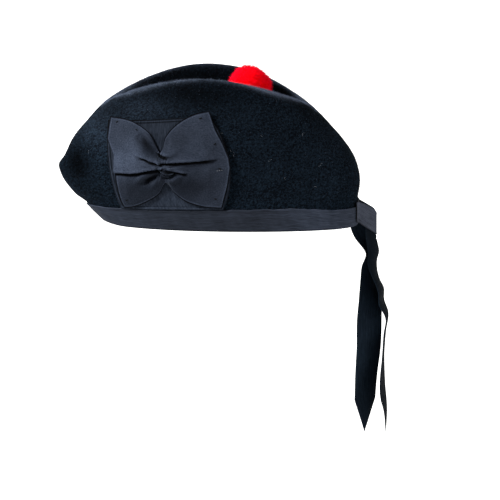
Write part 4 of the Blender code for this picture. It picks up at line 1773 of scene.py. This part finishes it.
    def gathers(self, y: np.ndarray, z: np.ndarray) -> np.ndarray:
        """Fine folds that spread from the knot and fade out."""
        dy, dz = self.away_from(self.knot.gathers_at, y, z)
        distance = np.hypot(dy, dz)
        angle = np.arctan2(dz, np.abs(dy) + 1e-6)
        waves = np.sin(angle * self.knot.gathers_turns + 2.5 * np.sin(angle * 5) + 40 * dy)
        near = bell(distance, 0.0, self.knot.gathers_reach) * ramp(distance, *self.knot.gathers_clear)
        return self.knot.gathers * waves * near

    def knot_leaf(self, y: np.ndarray, z: np.ndarray) -> tuple[np.ndarray, np.ndarray]:
        """The small leaf of cloth pinched out at the middle of the bow: its height, and the painted shade
        in the groove below it and in its hollow, less a painted highlight round its edge.
        """
        dy, dz = self.away_from(self.knot.leaf_at, y, z)
        cos, sin = math.cos(self.knot.leaf_turn), math.sin(self.knot.leaf_turn)
        u = (dy * cos + dz * sin) / self.knot.leaf_half[0]
        v = (dz * cos - dy * sin) / self.knot.leaf_half[1]
        r = np.hypot(u, v)
        dome = self.knot.leaf_rise * np.sqrt(np.clip(1 - r**2, 0, 1))
        below = bell(r, 1.14, 0.17) * ramp(-v, -0.4, 0.6)
        hollow = 0.75 * (1 - ramp(np.hypot(u - 0.22, (v + 0.15) * 1.3), 0.35, 0.75))
        return dome - self.knot.leaf_groove * below, 1.3 * below + hollow - 0.7 * bell(r, 0.84, 0.12)

    def wings(self, along: np.ndarray, across: np.ndarray) -> tuple[np.ndarray, np.ndarray]:
        """Where the bow's cloth lies flat.

        Args:
            along: Stations from the front edge (-1) to the rear edge (1).
            across: Places from the low hem (-1) to the top one (1).

        Returns:
            The places along and up, in shares of the bow's half sizes.
        """
        rows = np.array([row_at(BOW_ROWS, float(station)) for station in along])
        up_share = ((1 + across) / 2)[None, :]
        _station, top_y, top_z, low_y, low_z = rows.T[..., None]
        y = top_y * up_share + low_y * (1 - up_share)
        z = top_z * up_share + low_z * (1 - up_share)
        for edge, index, sign in ((FRONT_EDGE, 0, -1), (REAR_EDGE, -1, 1)):
            shift = np.interp(z[index], *np.array(edge).T) - y[index]
            weight = np.clip((sign * along - 0.35) / 0.65, 0, 1) ** 1.6
            y = y + shift[None, :] * weight[:, None]
        return y, z

    def bow(self) -> bpy.types.Object:
        """The gathered ribbon: two wings that widen from the knot."""
        along = np.linspace(-1, 1, self.bow_along + 1)
        across = np.linspace(-1, 1, self.bow_across + 1)
        y, z = self.wings(along, across)
        middle = np.interp(along, *np.array(BOW_RIDGE).T)[:, None]
        above = np.clip((across[None, :] - middle) / (1 - middle), 0, 1)
        below = np.clip((middle - across[None, :]) / (1 + middle), 0, 1)
        inside = 1 - above ** self.bow_hollow[0] - below ** self.bow_hollow[1]
        inside = inside * np.minimum((1 - np.abs(along)) * self.end_steepness, 1.0)[:, None]
        fold = np.minimum((1 - np.abs(across)) * self.hem_steepness, 1.0)[None, :] * np.ones_like(y)
        height, slide, depth = self.folds(y, z, inside)
        leaf, leaf_shade = self.knot_leaf(y, z)
        height = height * mix(0.25, 1.0, fold) + (leaf + self.gathers(y, z)) * fold
        height = height + self.bow_wave * np.sin(y * 23 + 3 * z) * np.cos(z * 17) + self.bow_seat
        least = self.bow_least
        height = np.where(height > least, height, least * np.exp(np.minimum(height / least - 1, 0)))
        flat = np.stack([0 * y, y * self.bow_length / 2, z * self.bow_height / 2], axis=-1)
        rim = edge_distance(flat).min(axis=0)
        height = height + self.bow_hem * BOW_HEM.at(rim)
        y = y + slide[..., 0] * fold
        z = z + slide[..., 1] * fold
        seat = self.binding.stand + self.binding.ribbon + self.bow_clearance
        at_y = self.centre_y + self.bow_length / 2 * y
        at_z = self.centre_z + self.bow_height / 2 * z
        points = self.wall.points(at_y, at_z, seat + height)
        # A pale selvedge line, a painted shadow outline, painted light and shade over the wings, and
        # painted shade in the folds and under the knot's leaf, less painted highlights on the lips
        marks = BOW_LINE.at(rim) + BOW_RIM.at(rim) + tone_over(BOW_TONES, y, z) - depth - leaf_shade
        piece = cloth("ribbon_bow", points, marks, self.binding.ribbon * 0.6, offset=1.0)
        flat = (self.bow_length, self.bow_height)
        return piece


class TackPixel(NamedTuple):
    """A stitch or a fibre that shows in the photograph: its pixel and its slant in degrees."""

    px: float
    py: float
    slant: float


TACKS = table(
    TackPixel,
    (118.8, 121.9, 20),
    (137.9, 129.9, -35),
    (200.9, 118.3, 15),
    (215.2, 143.8, 60),
    (219.8, 168.7, 0),
    (215.6, 199.0, -20),
    (128.0, 200.0, 30),
    (161.6, 164.2, 70),
)
PALE_TACK = TackPixel(217.6, 170.6, 0)
LINT = table(
    TackPixel,
    (221.0, 134.0, 20),
    (219.0, 136.5, 80),
    (232.0, 151.5, -50),
    (234.0, 155.0, 70),
    (262.0, 136.0, 5),
    (270.0, 160.5, 0),
    (303.0, 134.0, 30),
    (285.0, 178.0, 85),
    (315.0, 187.0, -40),
    (90.0, 151.0, 60),
    (320.0, 165.0, 20),
)


@dataclass
class SmallThreads:
    """Tack stitches on the finished bow and loose fibres on the felt."""

    wall: WallMap
    bow: bpy.types.Object
    bow_stand: float = 0.004
    sight_from: float = 0.03
    stand: float = 0.00075
    tack_reach: float = 0.0012
    tack_rise: float = 0.00025
    tack_radius: float = 0.0006
    pale_turns: int = 3
    pale_step: tuple = (2.1, -0.2)
    pale_reach: float = 0.00075
    pale_rise: float = 0.0002
    pale_radius: float = 0.00016
    lint_seen: float = 0.0007
    lint_stand: float = 0.0006
    lint_lengths: tuple = (0.0025, 0.0055)
    lint_bend: float = 0.0009
    lint_radius: float = 0.00009

    def on_bow(self, tree: BVHTree, px: float, py: float) -> Vector:
        """The point just above the bow that shows at a pixel of the photograph."""
        place = self.wall.at_pixel(px, py, self.bow_stand)
        hit = tree.ray_cast(place + Vector((self.sight_from, 0, 0)), Vector((-1, 0, 0)))[0]
        return (hit or place) + Vector((self.stand, 0, 0))

    def bow_tree(self) -> BVHTree:
        """A search tree over the bow's surface."""
        mesh = self.bow.data
        return BVHTree.FromPolygons([v.co for v in mesh.vertices], [p.vertices for p in mesh.polygons])

    def tacks(self) -> bpy.types.Object:
        """The stitches that hold the bow's wings down."""
        tree = self.bow_tree()
        parts = []
        for tack in TACKS:
            slant = math.radians(tack.slant)
            place = self.on_bow(tree, tack.px, tack.py)
            reach = Vector((0, math.cos(slant), math.sin(slant))) * self.tack_reach
            middle = place + Vector((self.tack_rise, 0, 0))
            bends = [mix(place - reach, middle, 0.6), middle, mix(place + reach, middle, 0.6)]
            parts.append(tube([place - reach, *bends, place + reach], self.tack_radius))
        return join_meshes("tack_stitches", parts)

    def pale_tack(self) -> bpy.types.Object:
        """The one pale stitch near the rear edge of the bow."""
        tree = self.bow_tree()
        reach = Vector((0, self.pale_reach, 0))
        rise = Vector((self.pale_rise, 0, 0))
        parts = []
        for turn in range(self.pale_turns):
            px = PALE_TACK.px + self.pale_step[0] * turn
            py = PALE_TACK.py + self.pale_step[1] * turn
            place = self.on_bow(tree, px, py)
            parts.append(tube([place - reach, place + rise, place + reach], self.pale_radius))
        return join_meshes("pale_stitch", parts)

    def lint(self) -> bpy.types.Object:
        """Pale fibres caught in the nap."""
        random = np.random.default_rng(5)
        parts = []
        for speck in LINT:
            start = self.wall.at_pixel(speck.px, speck.py, self.lint_seen)
            slant = math.radians(speck.slant)
            length = random.uniform(*self.lint_lengths)
            points = []
            for i in range(7):
                k = i / 6 - 0.5
                bend = self.lint_bend * math.sin(k * 5 + speck.px)
                y = start.y + length * k * math.cos(slant) - bend * math.sin(slant)
                z = start.z + length * k * math.sin(slant) + bend * math.cos(slant)
                place = self.wall.points(np.array([y]), np.array([z]), np.array([self.lint_stand]))[0]
                points.append(Vector(place))
            parts.append(tube(points, self.lint_radius, 4))
        return join_meshes("lint_fibres", parts)


@dataclass
class Pompom:
    """The wool pompom that sits in the crease."""

    size: float = 0.0440
    squeeze: float = 0.92
    core: float = 0.86
    flat_towards: tuple = (0.0, 0.62, 0.785)
    flat_from: float = 0.41
    flat_share: float = 0.75
    flat_round: float = 0.0018
    strands: int = 5200
    strand: float = 0.0062
    strand_base: float = 0.00042
    strand_lean: float = 0.28
    reach: float = 0.985
    uneven: float = 0.07
    core_lumps: tuple = ((3.1, 0.0008), (11, 0.0009))
    tufts: tuple = ((4, 0.06), (9, 0.09))

    def build(self) -> tuple[bpy.types.Object, bpy.types.Object]:
        """The dense core and the loose wool ends."""
        low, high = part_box("pompom")
        centre = (low + high) / 2
        radius = self.size / 2
        core = bmesh.new()
        bmesh.ops.create_icosphere(core, subdivisions=5, radius=radius * self.core)
        for vertex in core.verts:
            unit = vertex.co.normalized()
            lump = sum(noise.noise(unit * grain) * size for grain, size in self.core_lumps)
            vertex.co = self.shaped(vertex.co + unit * lump)
        bmesh.ops.translate(core, verts=core.verts, vec=centre)
        heart = to_object("wool_pompom", core)
        random = np.random.default_rng(3)
        directions = random.normal(0, 1, (self.strands, 3))
        directions /= np.linalg.norm(directions, axis=1, keepdims=True)
        places = []
        for direction in directions:
            unit = Vector(direction)
            lean = unit + Vector(random.normal(0, self.strand_lean, 3))
            tuft = sum(noise.noise(unit * grain) * size for grain, size in self.tufts)
            reach = radius * (self.reach + tuft + random.uniform(-self.uneven, self.uneven))
            tip = self.shaped(unit * reach)
            root = tip - lean.normalized() * self.strand
            turn = (tip - root).to_track_quat("Z", "Y").to_matrix().to_4x4()
            places.append(np.array(Matrix.Translation(centre + root) @ turn))
        ends = scatter("wool_ends", spike(self.strand_base, self.strand, 4), np.array(places))
        return heart, ends

    def shaped(self, place: Vector) -> Vector:
        """Squeezed between the ridges and flattened on its upper rear side."""
        squeezed = Vector((place.x * self.squeeze, place.y, place.z))
        press = Vector(self.flat_towards)
        over = squeezed.dot(press) - self.size * self.flat_from
        if over > 0:
            squeezed -= press * self.flat_share * over**2 / (over + self.flat_round)
        return squeezed


# Light, floor and camera


class Lamp(NamedTuple):
    """A far lamp: its strength, where it shines from, how wide it looks (degrees) and its colour."""

    name: str
    energy: float
    source: tuple
    width: float
    colour: tuple


LAMPS = table(
    Lamp,
    ("soft_key", 6.8, (0.36, -0.80, 0.70), 11, (1.0, 0.99, 0.97)),
    ("rear_fill", 1.9, (0.45, 0.85, 0.10), 40, (1.0, 0.93, 0.86)),
    ("right_fill", 2.6, (-0.85, -0.25, 0.35), 50, (1.0, 0.99, 0.98)),
)


@dataclass
class Studio:
    """The plain floor, the light and the camera."""

    floor_z: float = -0.45
    floor_half: float = 40.0
    sky: float = 0.11
    view_width: float = PHOTO_SIDE * PIXEL
    camera_distance: float = 2.0

    def floor(self) -> None:
        """A plain floor, which looks white to the camera."""
        made = bmesh.new()
        bmesh.ops.create_grid(made, x_segments=1, y_segments=1, size=self.floor_half)
        bmesh.ops.translate(made, verts=made.verts, vec=(0, 0, self.floor_z))
        floor = to_object("floor", made)
        paint = bpy.data.materials.new("floor_paint")
        paint.use_nodes = True
        shader = paint.node_tree.nodes["Principled BSDF"]
        shader.inputs["Base Color"].default_value = (0.55, 0.55, 0.55, 1.0)
        shader.inputs["Emission Color"].default_value = (1.0, 1.0, 1.0, 1.0)
        seen = paint.node_tree.nodes.new("ShaderNodeLightPath")
        paint.node_tree.links.new(seen.outputs["Is Camera Ray"], shader.inputs["Emission Strength"])
        shader.inputs["Roughness"].default_value = 1.0
        shader.inputs["Specular IOR Level"].default_value = 0.0
        floor.data.materials.append(paint)

    def light(self) -> None:
        """A soft key from the upper front, a weaker warm lamp behind, one on the right, and a white sky."""
        world = bpy.data.worlds.new("studio")
        bpy.context.scene.world = world
        world.use_nodes = True
        tree = world.node_tree
        dim = tree.nodes["Background"]
        dim.inputs["Color"].default_value = (1.0, 1.0, 1.0, 1.0)
        dim.inputs["Strength"].default_value = self.sky
        white = tree.nodes.new("ShaderNodeBackground")
        white.inputs["Strength"].default_value = 1.0
        seen = tree.nodes.new("ShaderNodeLightPath")
        pick = tree.nodes.new("ShaderNodeMixShader")
        tree.links.new(seen.outputs["Is Camera Ray"], pick.inputs[0])
        tree.links.new(dim.outputs[0], pick.inputs[1])
        tree.links.new(white.outputs[0], pick.inputs[2])
        tree.links.new(pick.outputs[0], tree.nodes["World Output"].inputs["Surface"])
        for lamp in LAMPS:
            self.sun(lamp)

    @staticmethod
    def sun(lamp: Lamp) -> None:
        """A far lamp, whose width softens its shadows."""
        sun = bpy.data.lights.new(lamp.name, "SUN")
        sun.energy = lamp.energy
        sun.angle = math.radians(lamp.width)
        sun.color = lamp.colour
        piece = bpy.data.objects.new(lamp.name, sun)
        piece.matrix_world = Vector(lamp.source).normalized().to_track_quat("Z", "Y").to_matrix().to_4x4()
        bpy.context.scene.collection.objects.link(piece)

    def camera(self) -> None:
        """A level camera at the cap's left, slightly raised."""
        scene = bpy.context.scene
        data = bpy.data.cameras.new("camera")
        data.type = "ORTHO"
        data.ortho_scale = self.view_width
        data.clip_end = 100
        towards = Vector((math.cos(CAMERA_RISE), 0, math.sin(CAMERA_RISE)))
        right = Vector((0, 1, 0))
        up = towards.cross(right)
        half = PHOTO_SIDE / 2
        side = (half - ORIGIN_PX) * PIXEL
        rise = (ORIGIN_PY - half) * PIXEL - ORIGIN_DROP
        camera = bpy.data.objects.new("camera", data)
        turn = Matrix((right, up, towards)).transposed().to_4x4()
        place = right * side + up * rise + towards * self.camera_distance
        camera.matrix_world = Matrix.Translation(place) @ turn
        scene.collection.objects.link(camera)
        scene.camera = camera
        scene.view_settings.view_transform = "Standard"


def main() -> None:
    """Builds the cap's pieces in order and dresses them."""
    logging.basicConfig(level=logging.INFO, format="%(name)s %(message)s")
    studio = Studio()
    studio.camera()
    studio.light()
    studio.floor()
    form = CrownForm()
    crown = FeltCrown(form)
    shell = settle(crown.build(), FeltFinish(), "felt", "crown")
    settle(crown.nap(shell, "felt_nap", crown.hairs, 0.0), NAP_HAIR, "felt")
    settle(crown.nap(shell, "ridge_nap", crown.ridge_hairs, 8.0), RIDGE_HAIR, "felt")
    binding = Binding(form)
    settle(binding.build(), BINDING_CLOTH, "binding", "band")
    settle(RearLoop(form, binding).build(), LOOP_CLOTH, "binding", "back_loop")
    back = form.rim_length / 2
    # The broad tail gets painted light and the turned one painted shade
    broad = HangingRibbon("ribbon_tail_broad", BROAD_TAIL, back, tone=0.55)
    settle(broad.build(), TAIL_CLOTH, "tail_ribbon", "tail_broad")
    turned = HangingRibbon("ribbon_tail_turned", TURNED_TAIL, back, tone=-0.12)
    settle(turned.build(), TAIL_CLOTH, "tail_ribbon", "tail_turned")
    wall = WallMap(form)
    cockade = Cockade(wall, binding)
    settle(cockade.backing(), PANEL_CLOTH, "cockade_cloth", "cockade_panel")
    bow = settle(cockade.bow(), BOW_CLOTH, "bow_cloth", "cockade_bow")
    threads = SmallThreads(wall, bow)
    settle(threads.tacks(), DARK_THREAD, "bow_cloth")
    settle(threads.pale_tack(), PALE_THREAD, "bow_cloth")
    settle(threads.lint(), PALE_THREAD, "felt")
    heart, ends = Pompom().build()
    settle(heart, WoolFinish(), "wool", "pompom")
    settle(ends, WoolFinish(), "wool", "pompom")


if __name__ == "__main__":
    main()
